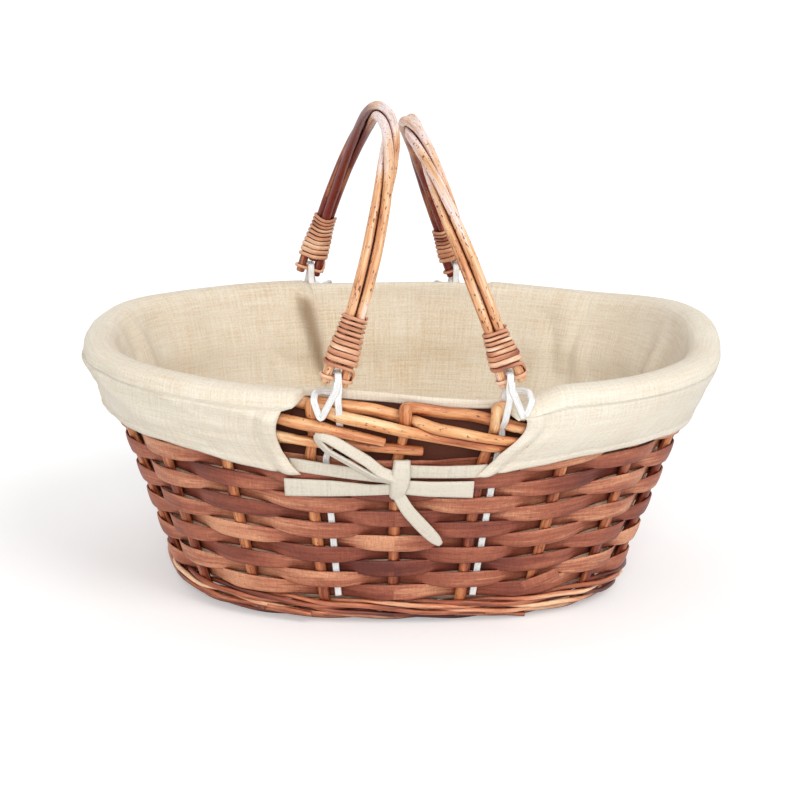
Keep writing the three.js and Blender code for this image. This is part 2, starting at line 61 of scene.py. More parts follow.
# Stakes and border
STAKES = 22
STAKE_STEP = 2 * math.pi / STAKES
FIRST_STAKE = math.radians(-94.6)
STAKE_RADIUS = 2.85
STAKE_WIDER = 1.2
STAKE_FOOT = 4.6
BORDER_RADIUS = 3.2
BORDER_RADIUS_SEEN = 3.8
BORDER_TOP = 148.0
BORDER_OFFSET = 5.9
BORDER_LEAN = 0.1
BORDER_END = 4.4
BORDER_DEEPEST = 24.0
BORDER_FALL = 1.5
BORDER_FALL_FASTER = 8.8
BORDER_SINK = 4.0
BORDER_SINK_DEGREES = (246, 284, 286, 322)
BORDER_CLOSER = 0.45
# The knee's points, each a height over the border's top and an offset from the wall
KNEE = ((-1.1, 0.2), (-0.9, -2.4))
KNOB_OUT = 0.9
TIP_LENGTH = 26
# The front window's rods: how much lower each one lies, and where it ends, in stakes
SEEN_RODS = {0: (3.2, 4.4), 21: (2.4, 4.4), 20: (-2.2, 4.4), 19: (-2.4, 2.86), 18: (-1.0, 4.3)}
CUT_IN_FRONT = 19
GOES_IN_LATE = 18

# Chips
CHIP_FIRST = 21.2
CHIP_PITCH = 8.62
CHIP_FIRST_ENDS = 23.8
CHIP_PITCH_ENDS = 9.0
CHIP_ROWS = 11
CHIP_PARTS = 26
CHIP_HEIGHT = 9.5
CHIP_SWELL = 1.6
CHIP_TUCK = -0.5
CHIP_THICKNESS = 1.15
CHIP_WAVE = 3.4
CHIP_CUP = 0.5
# Rows where a strip's end shows: its place in degrees, its tilt and its tone
CHIP_ENDS = {1: (-60.5, 0.35, 0.1), 6: (100.0, 0.25, 0.2)}

# Foot and base
WALE_RADIUS = 1.55
WALE_PARTS = 10
WALE_PITCH = 4.7
WALE_RISE = 2.75
WALE_OFFSET = 4.3
WALE_INSET = 4.0
WALE_RAISE = 0.22
WALE_LOOSE = 0.55
WALE_ENDS = ((-64.5,), (-118.0, 40.0), (20.0, 150.0))
BASE_TOP = 8.5
BASE_MIDDLE = BASE_TOP / 2 + 0.7
BASE_INSET = 18.0
BASE_ROUNDS = 15
BASE_ROUND_RADIUS = 1.75
BASE_ROUND_WAVE = 2.6
BASE_STICKS = 24
BASE_STICK_RADIUS = 1.5

# Liner
CLOTH = 0.9
CUFF_TOP = 155.1
ROLL_TOP = CUFF_TOP - 0.7
CUFF_DROP = 53.0
CUFF_HEM = CUFF_TOP - CUFF_DROP
CUFF_CLOSER = 2.6
HEM_RISE = 11.5
BACK_RIGHT_LIFT = 7.0
FRONT_HEM_SINK = 8.5
CREASE_HEIGHT = 150.0
LINER_OFFSET = 11.4
NEAR_WALL = -5.7
FLOOR_TOP = 9.5
FLOOR_EDGE = -40.0
FLOOR_RINGS = 13
ROUND_RADIUS = 168.0
GIRTH = ROUND_RADIUS * 2 * math.pi
# The rectangle that the cloth is cut from, over what the round floor and the windows leave of it
COLUMN_STEP = 2.2
ROLL_ROWS = 18
WINDOW_CENTRE = -9.5
WINDOW_DRIFT = 5.0
WINDOW_TOP = 66.0
WINDOW_MIDDLE = 69.5
WINDOW_HEM = 54.0
WINDOW_FLAP = 7.0
WINDOW_EASE = 5.0
PLEAT_DEGREES = 107.8
PLEAT_TOP = 151.0
PLEAT_LOW = 70.0
PLEAT_DEEP = 8.0
PLEAT_SLANT = 0.175
PLEAT_FADE = 14.0

# The cloth's profiles, each point an offset from the wall and a height
WALL_PROFILE = [
    (FLOOR_EDGE, FLOOR_TOP), (-9.2, FLOOR_TOP), (-9.0, 19.0), (NEAR_WALL, 26.0),
    (NEAR_WALL, 101.0), (-LINER_OFFSET, 119.0), (-LINER_OFFSET, 146.0),
]
ROLL_OVER_CUFF = [
    (-LINER_OFFSET, 146.0), (-11.0, 152.0), (-9.2, 155.2), (-6.0, 156.4), (-1.0, 156.2),
    (4.0, 154.4), (7.2, 151.2), (9.0, 147.0),
]
HEM_AT_WINDOW = [
    (-LINER_OFFSET, 146.0), (-LINER_OFFSET + 0.1, 152.4), (-11.0, 155.4), (-10.1, 156.7),
    (-9.3, 155.6), (-9.0, 153.5), (-9.0, 150.5),
]
CUFF_PROFILE = [
    (9.0, 147.0), (9.9, 142.0), (10.3, 137.0), (10.4, 131.0), (10.2, 124.5), (8.4, 118.5),
    (6.8, 113.0), (6.0, 107.0), (5.7, CUFF_HEM),
]

# Its folds: how many, between which heights, and the ranges of their tilts and sizes
INNER_FOLDS = {"count": 40, "high": (30, 150), "tilt": (88, 16), "length": (30, 75),
               "width": (6, 14), "size": (1.2, 3.4)}
CUFF_FOLDS = {"count": 60, "high": (98, 150), "tilt": (-14, 22), "length": (30, 80),
              "width": (4, 11), "size": (0.9, 2.9)}
CUFF_LINES = {"count": 90, "high": (98, 152), "tilt": (-10, 30), "length": (14, 40),
              "width": (1.2, 2.6), "size": (0.35, 0.8)}

# Ties
TAPE_WIDTH = 12.5
LINEN_PITCH = 0.85
TAPE_THICKNESS = 1.7
TAPE_OFFSET = 5.8
BOW_CENTRE = -10.5
BOW_HEIGHT = 101.5
KNOT_WIDTH = 11.5
KNOT_HEIGHT = 25.0
LOOP_DEPTH = 7.0
LOOP_TURN = math.radians(48)
# Lines from the knot's middle: along, up, out, and the tape's width as a share
BOW_LEFT_END = [(-3, -7, 0.8, 0.6), (-16, -8, 0, 0.6), (-40, -7.4, 0.3, 0.9), (-67, -8, 0, 1)]
BOW_RIGHT_END = [(2, -6, 0.6, 0.8), (16, -7.5, 0, 0.85), (42.5, -8, 0.2, 0.94)]
BOW_TAIL = [
    (-2, -10, 2.4, 0.6), (4, -21, 2.6, 0.66), (14, -33, 1.4, 0.7), (22, -42, 0.8, 0.62),
    (25, -45, 0.7, 0.3),
]
BOW_LOOP = [
    (-3, 1.5, 3), (-12, 5, 4.4), (-20, 12.5, 5.0), (-34, 21.8, 4.6), (-45, 28.5, 3.4),
    (-49.5, 28, 2.8), (-49.0, 24.6, 2.8), (-43, 18.4, 3.6), (-31, 11.4, 4.2), (-17, 2.2, 4.2),
    (-3, -2.5, 3),
]
BOW_KNOT = [
    (-0.5, KNOT_HEIGHT / 2, 1.2, 0.85), (-0.5, KNOT_HEIGHT / 4, 3.2, 1),
    (-1.5, -KNOT_HEIGHT / 5, 3.4, 1), (-3, -KNOT_HEIGHT / 2, 1.0, 0.7),
]

# The ties: how they lie against the bow, and how high each of their points is over TIE_LIFT
TIE_LIFT = 3.6
TIE_WIDTH = 0.72 * TAPE_WIDTH
TIE_OFFSET = TAPE_OFFSET - 0.4
TIE_STRAIGHT = (0.2, 0.2, 0.2, 0.8)
TIE_SLANTING = (3.2, 3.0, -0.4, -3.4)

# Handles
HANDLE_SPACING = 100.0
PIVOT_HEIGHT = 168.0
PIVOT_WIDTH = 147.0
ARCH_POWER = 2.33
ARCH_PARTS = 1440
LEFT_HANDLE = {"pivot": -HANDLE_SPACING / 2, "lean": 16.3, "rise": 131.0, "bound": 35.1,
               "turns": 11, "paleness": 1.6, "seed": 10}
RIGHT_HANDLE = {"pivot": HANDLE_SPACING / 2, "lean": -21.0, "rise": 126.0, "bound": 27.3,
                "turns": 9, "paleness": 1.0, "seed": 20}
HANDLES = {"left": LEFT_HANDLE, "right": RIGHT_HANDLE}
ROD_RADIUS = 2.95
ROD_LAY = 3.58
TWIST_TURNS = 1.0
END_DROP = 7.0
SHORT_END = 3.6
END_SPREAD = 5.37
BIND_THICK = 0.95
BIND_WIDTH = 1.06
BIND_WIDER = 0.62
BIND_FINER = 0.42
BIND_LOW = -3.5
BIND_HIGH = 3.8
BIND_PARTS = 28
GAP = 0.3

# Straps
STRAP_WIDTH = 4.2
STRAP_THICKNESS = 1.0
STRAP_FOOT = 18.0
STRAP_ENTRY = 112.0
STRAP_DEGREES = {
    ("left", -1): -107.6, ("right", -1): -75.4, ("left", 1): 105.1, ("right", 1): 72.4,
}
# Lines at the border, from under the pivot: along, up from the border's top, and out
STRAP_UP = [
    (-2.4, -17, 0.6), (-2.4, -13.5, 3.4), (-2.3, -9.5, 6.6), (-1.8, -2, 8.0), (-1.0, 5, 8.0),
]
STRAP_DOWN_INSIDE = [(0, 2, -8.0), (0, -6, -8.4)]
STRAP_ROUND = [
    (3.2, 4, 8.6), (6.6, -4.5, 8.6), (8.2, -7.6, 8.4), (9.6, -4.5, 8.2), (12.6, 3.5, 6.6),
    (12.8, 6.6, -1.0), (9.5, 6.5, -6.4), (5.0, 5.0, -8.2), (1.5, 8.0, -7.4),
]

# Camera, fitted to the photograph's frame of 800 x 800
FOCAL_PIXELS = 2565.73
FRAME_PIXELS = 800
CAMERA_DISTANCE = 1750.95
CAMERA_ELEVATION = 15.38
CAMERA_AZIMUTH = -4.86
CAMERA_ROLL = 1.19
CAMERA_TARGET = (-2.55, 103.95, 82.94)
CENTRE_SHIFT = (-18.02, -1.42)
SENSOR_WIDTH = 36

# Light: each lamp's azimuth, elevation, strength and spread in degrees
KEY = (38, 44, 0.9, 30)
FILL = (-8, 20, 1.2, 24)
AMBIENT = 0.67
FLOOR_GLOW = 0.3
FLOOR_GREY = 0.82
FLOOR_REACH = 30.0
FLOOR_LEVEL = -0.0002


# Maths
def lerp(a, b, t):
    return a + (b - a) * t


def smooth(x, low, high):
    t = np.clip((np.asarray(x, float) - low) / (high - low), 0, 1)
    return t * t * (3 - 2 * t)


def bump_at(x, middle, width):
    """A soft ridge of height 1."""
    return np.exp(-(((x - middle) / width) ** 2))


def between(x, low, high, fall, end):
    """A share that rises from low to high, and falls again from fall to end."""
    return smooth(x, low, high) * (1 - smooth(x, fall, end))


def unit(v):
    return v / np.maximum(np.linalg.norm(v, axis=-1, keepdims=True), 1e-9)


def line_sizes(z):
    """The stake line's half length, half width and power at a height."""
    z = np.asarray(z, float)
    share = (z - FOOT_HEIGHT) / (RIM_HEIGHT - FOOT_HEIGHT)
    tuck = FOOT_TUCK * np.clip((FOOT_HEIGHT - z) / FOOT_HEIGHT, 0, None) ** 2
    return (
        lerp(FOOT_LENGTH, RIM_LENGTH, share) - tuck,
        lerp(FOOT_WIDTH, RIM_WIDTH, share) - tuck,
        lerp(FOOT_POWER, RIM_POWER, np.clip(share, 0, 1)),
    )


def line_point(angle, z):
    """The stake line's point at an angle round the basket and a height."""
    angle, z = np.broadcast_arrays(np.asarray(angle, float), np.asarray(z, float))
    a, b, power = line_sizes(z)
    c, s = np.cos(angle), np.sin(angle)
    reach = (np.abs(c) ** power + np.abs(s) ** power) ** (-1 / power)
    return np.stack([a * c * reach, b * s * reach, z], -1)


def angle_at(side, x, z):
    """The angle where the stake line of a height passes x, at the front (-1) or the back (1)."""
    a, _, power = line_sizes(z)
    along = np.asarray(x, float) / a
    across = (1 - np.abs(along) ** power) ** (1 / power)
    return np.arctan2(side * across, along)


def wall_normal(angle, z):
    """The level way outward from the stake line."""
    angle, z = np.broadcast_arrays(np.asarray(angle, float), np.asarray(z, float))
    a, b, power = line_sizes(z)
    c, s = np.cos(angle), np.sin(angle)
    x = np.sign(c) * np.abs(c) ** (power - 1) / a
    y = np.sign(s) * np.abs(s) ** (power - 1) / b
    return unit(np.stack([x, y, np.zeros_like(x)], -1))


def wall_slope(angle, z):
    """How far the wall leans outward in a millimetre of height."""
    rise = line_point(angle, np.asarray(z) + 0.5) - line_point(angle, np.asarray(z) - 0.5)
    return (rise * wall_normal(angle, z)).sum(-1)


def wall_out(angle, z):
    """The way outward, square to the leaning wall."""
    n = wall_normal(angle, z).copy()
    n[..., 2] = -wall_slope(angle, z)
    return unit(n)


def wall_point(angle, z, offset=0.0):
    """A point at an offset outward from the wall, measured square to it."""
    angle, z, offset = np.broadcast_arrays(angle, z, offset)
    reach = offset * np.hypot(1, wall_slope(angle, z))
    return line_point(angle, z) + wall_normal(angle, z) * reach[..., None]


def outward_at(points):
    """The level way outward at points near the wall."""
    a, b, power = line_sizes(points[:, 2])
    x, y = points[:, 0] / a, points[:, 1] / b
    steep = [np.sign(v) * np.abs(v) ** (power - 1) / size for v, size in ((x, a), (y, b))]
    return unit(np.stack([steep[0], steep[1], np.zeros(len(points))], -1))


def direction(azimuth, elevation):
    """The way towards a camera or lamp: 0 is in front, and azimuth turns it to the right."""
    a, e = math.radians(azimuth), math.radians(elevation)
    return Vector((math.sin(a) * math.cos(e), -math.cos(a) * math.cos(e), math.sin(e)))


def stake_angle(index):
    return FIRST_STAKE + index * STAKE_STEP


def turned(side, x):
    """The place along the basket of something that both sides have, as seen from either side."""
    return -side * x


# Lines
def lengths(points):
    """How far along the line each of its points is."""
    steps = np.linalg.norm(np.diff(points, axis=0), axis=1)
    return np.concatenate([[0], np.cumsum(steps)])


def read_at(at, far, values):
    """The rows of values, given at the lengths far, at other lengths."""
    return np.stack([np.interp(at, far, column) for column in np.transpose(values)], -1)


def resample(points, step):
    """The line as points in even steps."""
    points = np.asarray(points, float)
    far = lengths(points)
    count = max(int(round(far[-1] / step)), 2)
    return read_at(np.linspace(0, far[-1], count + 1), far, points)


def with_ends(values):
    """The values with the first and the last one doubled, for the rings that round a rod's ends."""
    return np.concatenate([values[:1], values, values[-1:]])


def soften(points, step, blur):
    """The line in even steps with its corners rounded. Its ends stay where they are."""
    line = resample(points, step)
    reach = max(int(3 * blur / step), 1)
    kernel = np.exp(-0.5 * (np.arange(-reach, reach + 1) * step / blur) ** 2)
    kernel /= kernel.sum()
    reach = min(reach, len(line) - 1)
    full = len(kernel) // 2
    kernel = kernel[full - reach : full + reach + 1] / kernel[full - reach : full + reach + 1].sum()
    before = 2 * line[0] - line[reach:0:-1]
    after = 2 * line[-1] - line[-2 : -reach - 2 : -1]
    padded = np.vstack([before, line, after])
    return np.stack([np.convolve(padded[:, k], kernel, "valid") for k in range(line.shape[1])], -1)


def wander(rng, length, count, size):
    """A smooth random offset along a length, about size either way."""
    at = np.linspace(0, 1, count)
    total = np.zeros(count)
    for wave in (1, 2, 3, 5):
        turns = wave * length / 120
        total += rng.normal(0, 0.6 / math.sqrt(wave)) * np.sin(
            2 * math.pi * (turns * at + rng.random())
        )
    return size * total


# Sections
def round_section(sides, wide=1.0, high=1.0):
    turn = 2 * math.pi * np.arange(sides) / sides
    return np.stack([wide * np.cos(turn), high * np.sin(turn)], -1)


def ribbon_section(width, thickness, across=7, cup=0.0, edge=0.0):
    """A flat strip's section: its two faces, cupped, with round edges and thicker selvedges."""
    u = np.linspace(-0.5, 0.5, across) * (width - thickness)
    rise = cup * (1 - (2 * u / width) ** 2)
    half = thickness / 2 + edge * np.clip(np.abs(2 * u / width) - 0.6, 0, None) / 0.4
    top = np.stack([u, rise + half], -1)
    low = np.stack([u, rise - half], -1)[::-1]
    tip = np.array([[width / 2, rise[-1]]])
    return np.vstack([top, tip, low, tip * [-1, 1]])


def sweep(path, out, section, size=1.0, loop=False):
    """Rings of the section along the path: u runs sideways and v towards out."""
    ahead = np.roll(path, -1, 0)
    behind = np.roll(path, 1, 0)
    if not loop:
        ahead[-1], behind[0] = path[-1], path[0]
    along = unit(ahead - behind)
    side = unit(np.cross(along, out))
    up = np.cross(side, along)
    size = np.broadcast_to(size, len(path))[:, None, None]
    section = np.broadcast_to(section, (len(path),) + np.shape(section)[-2:])
    flat = section * size
    return path[:, None] + side[:, None] * flat[..., :1] + up[:, None] * flat[..., 1:]


def rod(path, radius, out=None, sides=12, bevel=0.5, section=None):
    """A rod with its two ends cut off square and slightly worn."""
    path = np.asarray(path, float)
    out = outward_at(path) if out is None else out
    radius = np.broadcast_to(radius, len(path)).copy()
    first = path[0] + unit(path[0] - path[1]) * bevel
    last = path[-1] + unit(path[-1] - path[-2]) * bevel
    path = np.vstack([first, path, last])
    radius = np.concatenate([[radius[0] - bevel], radius, [radius[-1] - bevel]])
    return sweep(path, with_ends(out), round_section(sides) if section is None else section, radius)


# Meshes
def make_mesh(name, points, faces, uvs, values, materials):
    """A mesh from points and UVs in millimetres, with named values at its points."""
    mesh = bpy.data.meshes.new(name)
    mesh.from_pydata((points * MM).tolist(), [], faces)
    layer = mesh.uv_layers.new(name="UVMap")
    layer.data.foreach_set("uv", np.array(uvs, np.float32).ravel())
    for key, numbers in values.items():
        layer = mesh.attributes.new(key, "FLOAT", "POINT")
        layer.data.foreach_set("value", np.array(numbers, np.float32).ravel())
    for material in materials:
        mesh.materials.append(material)
    return mesh


def linked(name, data):
    obj = bpy.data.objects.new(name, data)
    bpy.context.scene.collection.objects.link(obj)
    return obj


def stand_for(obj, body, nodes):
    """The object rides on a body, in the place of the solids that it shows."""
    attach(obj, body)
    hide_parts(*nodes)
    return obj


class Shape:
    """Gathers rings of points, and makes one mesh object of them."""

    def __init__(self, name):
        self.name = name
        self.points, self.faces, self.uvs, self.is_end = [], [], [], []
        self.tones, self.seeds = [], []
        self.seed = 0.37 * sum(map(ord, name))
        self.count = 0

    def add(self, rings, tone=0.0, loop=False):
        """A tube of rings, closed into a loop or with an end face at each end."""
        rows, columns = rings.shape[:2]
        i = np.arange(rows if loop else rows - 1)[:, None]
        i, j = np.broadcast_arrays(i, np.arange(columns)[None, :])
        corners = [(i, j), (i, j + 1), (i + 1, j + 1), (i + 1, j)]
        faces = np.stack([a % rows * columns + b % columns for a, b in corners], -1)
        middle = rings.mean(1)
        steps = np.linalg.norm(np.roll(middle, -1, 0) - middle, axis=1)
        u = np.concatenate([[0], np.cumsum(steps)])
        around = np.linalg.norm(np.roll(rings, -1, 1) - rings, axis=2).mean(0)
        v = np.concatenate([[0], np.cumsum(around)])
        uv = np.stack([np.stack([u[a], v[b]], -1) for a, b in corners], -2)
        tone = np.broadcast_to(np.asarray(tone, float).reshape(-1, 1), (rows, columns))
        self.points.append(rings.reshape(-1, 3))
        self.tones.append(tone.reshape(-1))
        self.seeds.append(np.full(rows * columns, self.seed))
        self.seed += 7.3
        self.faces += (faces.reshape(-1, 4) + self.count).tolist()
        self.uvs += uv.reshape(-1, 2).tolist()
        self.is_end += [0] * (len(self.faces) - len(self.is_end))
        if not loop:
            self.add_end(rings[0], self.count, -1)
            self.add_end(rings[-1], self.count + (rows - 1) * columns, 1)
        self.count += rows * columns

    def add_end(self, ring, first, order):
        columns = len(ring)
        self.faces.append((first + np.arange(columns))[::order].tolist())
        spread = np.linalg.norm(ring - ring.mean(0), axis=1)
        turn = 2 * math.pi * np.arange(columns) / columns
        flat = np.stack([spread * np.cos(turn), spread * np.sin(turn)], -1)
        self.uvs += flat[::order].tolist()
        self.is_end.append(1)

    def make(self, materials, body, slot, nodes):
        """The object, with the first material along its tubes and the second on their ends."""
        values = {"tone": np.concatenate(self.tones), "seed": np.concatenate(self.seeds)}
        mesh = make_mesh(self.name, np.vstack(self.points), self.faces, self.uvs, values, materials)
        is_end = np.array(self.is_end, np.int32)
        mesh.polygons.foreach_set("material_index", is_end)
        mesh.polygons.foreach_set("use_smooth", is_end == 0)
        mesh.validate()
        if volume(mesh) < 0:
            mesh.flip_normals()
        mesh.update()
        return stand_for(linked(self.name, mesh), body, nodes)


def volume(mesh):
    """Six times the mesh's volume, negative where its faces look inward."""
    mesh.calc_loop_triangles()
    count = len(mesh.loop_triangles)
    index = np.zeros(count * 3, np.int32)
    mesh.loop_triangles.foreach_get("vertices", index)
    points = np.zeros(len(mesh.vertices) * 3, np.float32)
    mesh.vertices.foreach_get("co", points)
    a, b, c = points.reshape(-1, 3)[index].reshape(-1, 3, 3).transpose(1, 0, 2)
    return float((a * np.cross(b, c)).sum())


# Materials
def colour(red, green, blue):
    """An sRGB colour of 0 to 255 as the linear colour that a socket takes."""
    levels = [c / 255 for c in (red, green, blue)]
    return tuple(c / 12.92 if c <= 0.04045 else ((c + 0.055) / 1.055) ** 2.4 for c in levels) + (1,)


class Paint:
    """A material with a Principled shader, and short calls for its nodes."""

    def __init__(self, name, **settings):
        self.material = bpy.data.materials.new(name)
        self.material.use_nodes = True
        self.tree = self.material.node_tree
        self.shader = self.tree.nodes["Principled BSDF"]
        self.finish(**settings)

    def node(self, kind, inputs=(), **settings):
        made = self.tree.nodes.new("ShaderNode" + kind)
        for key, value in settings.items():
            setattr(made, key, value)
        for key, value in dict(inputs).items():
            self.set(made.inputs[key], value)
        return made

    def set(self, socket, value):
        if isinstance(value, bpy.types.NodeSocket):
            self.tree.links.new(value, socket)
        else:
            socket.default_value = value

    def maths(self, operation, a, b=0.0, c=0.0):
        return self.node("Math", {0: a, 1: b, 2: c}, operation=operation).outputs[0]

    def place(self, along, across, shift=0.0):
        """The surface's place in millimetres times the two scales, different for each piece."""
        uv = self.node("TexCoord").outputs["UV"]
        shift = self.maths("ADD", self.read("seed"), shift)
        parts = self.node("SeparateXYZ", {0: uv}).outputs
        u = self.maths("MULTIPLY", parts[0], along)
        v = self.maths("MULTIPLY", parts[1], across)
        return self.node("CombineXYZ", {0: u, 1: v, 2: shift}).outputs[0]

    def read(self, attribute):
        return self.node("Attribute", attribute_name=attribute).outputs["Fac"]

    def noise(self, place, scale=1.0, detail=3.0, rough=0.55):
        inputs = {"Vector": place, "Scale": scale, "Detail": detail, "Roughness": rough}
        return self.node("TexNoise", inputs).outputs["Fac"]

    def waves(self, *pitches):
        """Even waves along the piece and across it, of the given pitches in millimetres."""
        parts = self.node("SeparateXYZ", {0: self.node("TexCoord").outputs["UV"]}).outputs
        turns = [self.maths("MULTIPLY", parts[k], 2 * math.pi / p) for k, p in enumerate(pitches)]
        return [self.maths("SINE", turn) for turn in turns]

    def ramp(self, value, stops):
        made = self.node("ValToRGB", {"Fac": value})
        bar = made.color_ramp.elements
        while len(bar) < len(stops):
            bar.new(0.5)
        for element, (place, shade) in zip(bar, stops):
            element.position = place
            element.color = shade if isinstance(shade, tuple) else (shade,) * 3 + (1,)
        return made.outputs["Color"]

    def mix(self, share, a, b, kind="MIX"):
        made = self.node("Mix", data_type="RGBA", blend_type=kind)
        for socket, value in (("Factor", share), (6, a), (7, b)):
            self.set(made.inputs[socket], value)
        return made.outputs[2]

    def finish(self, height=None, depth=0.0, **inputs):
        """Sets the shader's inputs, and a relief of a depth in millimetres."""
        for key, value in inputs.items():
            self.set(self.shader.inputs[key.replace("_", " ").title()], value)
        if height is not None:
            bump = self.node("Bump", {"Height": height, "Distance": depth * MM})
            self.set(self.shader.inputs["Normal"], bump.outputs["Normal"])
        return self.material


def wood(name, shades, along, across, roughness, coat, depth=0.25, speck=0.0, even=1.0,
         sawn=0.0, crevice_shade_reach=5.0):
    """Wood with its grain along the piece: blotches, streaks, pores, dark specks, and painted shade
    in its crevices.
    """
    paint = Paint(name, roughness=roughness, coat_weight=coat, coat_roughness=0.32)
    blotch = paint.noise(paint.place(0.018, 0.12))
    streak = paint.noise(paint.place(along, across), detail=4.0, rough=0.62)
    pores = paint.noise(paint.place(along * 7, across * 3.2))
    value = paint.maths("MULTIPLY_ADD", blotch, 0.9 * even, 0.25 - 0.45 * even)
    value = paint.maths("ADD", value, 0.375 - 0.375 * even)
    value = paint.maths("MULTIPLY_ADD", streak, 0.75 * even, value)
    value = paint.maths("MULTIPLY_ADD", paint.read("tone"), 0.35, value)
    shade = paint.ramp(value, list(zip((0.2, 0.48, 0.72, 0.95), shades)))
    pale = paint.ramp(pores, [(0.33, 0.64), (0.52, 1.0), (0.75, 1.2)])
    shade = paint.mix(0.75, shade, pale, "MULTIPLY")
    height = paint.maths("MULTIPLY_ADD", pores, 0.6, streak)
    if sawn:
        marks = paint.noise(paint.place(1.3, 0.16, 91.0), rough=0.7)
        cross = paint.ramp(marks, [(0.36, 0.72), (0.55, 1.03), (0.7, 1.14)])
        shade = paint.mix(sawn, shade, cross, "MULTIPLY")
        height = paint.maths("MULTIPLY_ADD", marks, 0.8 * sawn, height)
    if speck:
        spots = paint.noise(paint.place(0.3, 0.75, 57.0), detail=1.0)
        edge = paint.ramp(spots, [(0.25 + speck, colour(120, 62, 40)), (0.30 + speck, 1.0)])
        shade = paint.mix(0.9, shade, edge, "MULTIPLY")
    # The base colour carries painted shade in its crevices.
    return paint.finish(height, depth, base_color=painted_crevice_shade(paint, shade, crevice_shade_reach))


def painted_crevice_shade(paint, shade, reach):
    """Painted shade: darker where ambient occlusion finds the surface enclosed, as shade falls in
    gaps.
    """
    occlusion = paint.node("AmbientOcclusion", {"Distance": reach * MM}, samples=5)
    stops = [(0.12, colour(70, 20, 8)), (0.45, colour(196, 150, 128)), (0.74, 1.0)]
    return paint.mix(1.0, shade, paint.ramp(occlusion.outputs["AO"], stops), "MULTIPLY")


def end_grain(name, shade, dark):
    paint = Paint(name, roughness=0.7)
    place = paint.node("TexCoord").outputs["UV"]
    length = paint.node("VectorMath", {0: place}, operation="LENGTH").outputs["Value"]
    rings = paint.maths("SINE", paint.maths("MULTIPLY", length, 5.5))
    value = paint.maths("MULTIPLY_ADD", rings, 0.12, paint.noise(place, scale=1.6))
    # Painted shade in the cut end's hollows.
    shade = painted_crevice_shade(paint, paint.ramp(value, [(0.3, dark), (0.6, shade)]), 3.0)
    return paint.finish(value, 0.15, base_color=shade)


def linen(name, shades, painted_shade=()):
    """Plain-woven linen with uneven threads, with painted shade where an attribute says so."""
    paint = Paint(name, roughness=0.92, sheen_weight=0.2, sheen_roughness=0.5)
    warp = paint.noise(paint.place(0.035, 0.8), rough=0.65)
    weft = paint.noise(paint.place(0.8, 0.035, 17.0), rough=0.65)
    flecks = paint.noise(paint.place(0.75, 0.75), detail=2.0, rough=0.6)
    cloudy = paint.noise(paint.place(0.02, 0.02), detail=2.0)
    threads = paint.maths("ADD", warp, weft)
    value = paint.maths("MULTIPLY_ADD", threads, 0.42, 0.17)
    for part, weight in ((flecks, 0.36), (cloudy, 0.2), (paint.read("tone"), 0.28)):
        value = paint.maths("MULTIPLY_ADD", part, weight, value)
    shade = paint.ramp(value, list(zip((0.44, 0.68, 0.92), shades)))
    weave = paint.maths("MULTIPLY", *paint.waves(LINEN_PITCH, LINEN_PITCH))
    height = paint.maths("MULTIPLY_ADD", threads, 2.4, paint.maths("MULTIPLY", weave, 0.5))
    if painted_shade:
        shade = paint.mix(paint.read(painted_shade[0]), shade, painted_shade[1])
    return paint.finish(height, 0.12, base_color=shade)


def webbing(name, shades):
    """Woven webbing: fine ribs across it."""
    paint = Paint(name, roughness=0.6, sheen_weight=0.15)
    ribs, cords = paint.waves(0.9, 1.1)
    height = paint.maths("MULTIPLY_ADD", ribs, 0.5, cords)
    value = paint.maths("MULTIPLY_ADD", height, 0.08, paint.noise(paint.place(0.2, 0.6)))
    shade = paint.ramp(value, [(0.3, shades[0]), (0.65, shades[1])])
    return paint.finish(height, 0.12, base_color=shade)


def palette(*levels):
    return [colour(*level) for level in levels]


CHIP_SHADES = palette((96, 34, 20), (140, 68, 46), (174, 100, 72), (220, 154, 116))
STAKE_SHADES = palette((118, 42, 16), (194, 114, 68), (228, 162, 106), (248, 206, 156))
FOOT_SHADES = palette((80, 20, 8), (148, 70, 40), (208, 128, 88), (248, 200, 158))
# The palest, pinkish shade serves mostly as the painted highlight over the arches.
HANDLE_SHADES = palette((118, 26, 10), (208, 138, 88), (238, 188, 140), (252, 228, 222))
BIND_SHADES = palette((124, 48, 26), (196, 128, 92), (228, 172, 134), (248, 214, 184))
LINEN_SHADES = palette((212, 182, 144), (230, 217, 195), (244, 238, 224))
# Painted light: the cloth's outer face is a lighter, warmer copy of the linen, for the light seen
# in the weave's slots.
UNDER_LIGHTENED_SHADES = palette((240, 192, 154), (252, 214, 182), (255, 230, 206))
TIE_SHADES = palette((180, 164, 142), (206, 194, 174), (224, 216, 200))
WEB_SHADES = palette((236, 234, 230), (254, 254, 252))
# Painted shade colours: for the pleat's crease, and for the cloth's outer face behind the border
# rods.
FOLD_PAINTED_SHADE = colour(142, 112, 80)
UNDER_PAINTED_SHADE = colour(100, 50, 32)

chip_wood = wood("chip_wood", CHIP_SHADES, 0.05, 0.75, 0.6, 0.08, depth=0.22, even=0.8,
                 sawn=0.7, crevice_shade_reach=7.0)
stake_wood = wood("stake_willow", STAKE_SHADES, 0.022, 0.42, 0.48, 0.2, speck=0.02, even=1.2)
foot_wood = wood("foot_willow", FOOT_SHADES, 0.03, 0.6, 0.5, 0.2, crevice_shade_reach=4.0)
handle_wood = wood("handle_willow", HANDLE_SHADES, 0.016, 0.45, 0.42, 0.22, depth=0.2,
                   speck=0.06, even=1.25, crevice_shade_reach=4.0)
bind_wood = wood("binding_skein", BIND_SHADES, 0.05, 0.9, 0.5, 0.2, crevice_shade_reach=2.4)
cut_wood = end_grain("cut_willow", colour(196, 124, 92), colour(96, 40, 26))
liner_cloth = linen("liner_cloth", LINEN_SHADES, painted_shade=("folded", FOLD_PAINTED_SHADE))
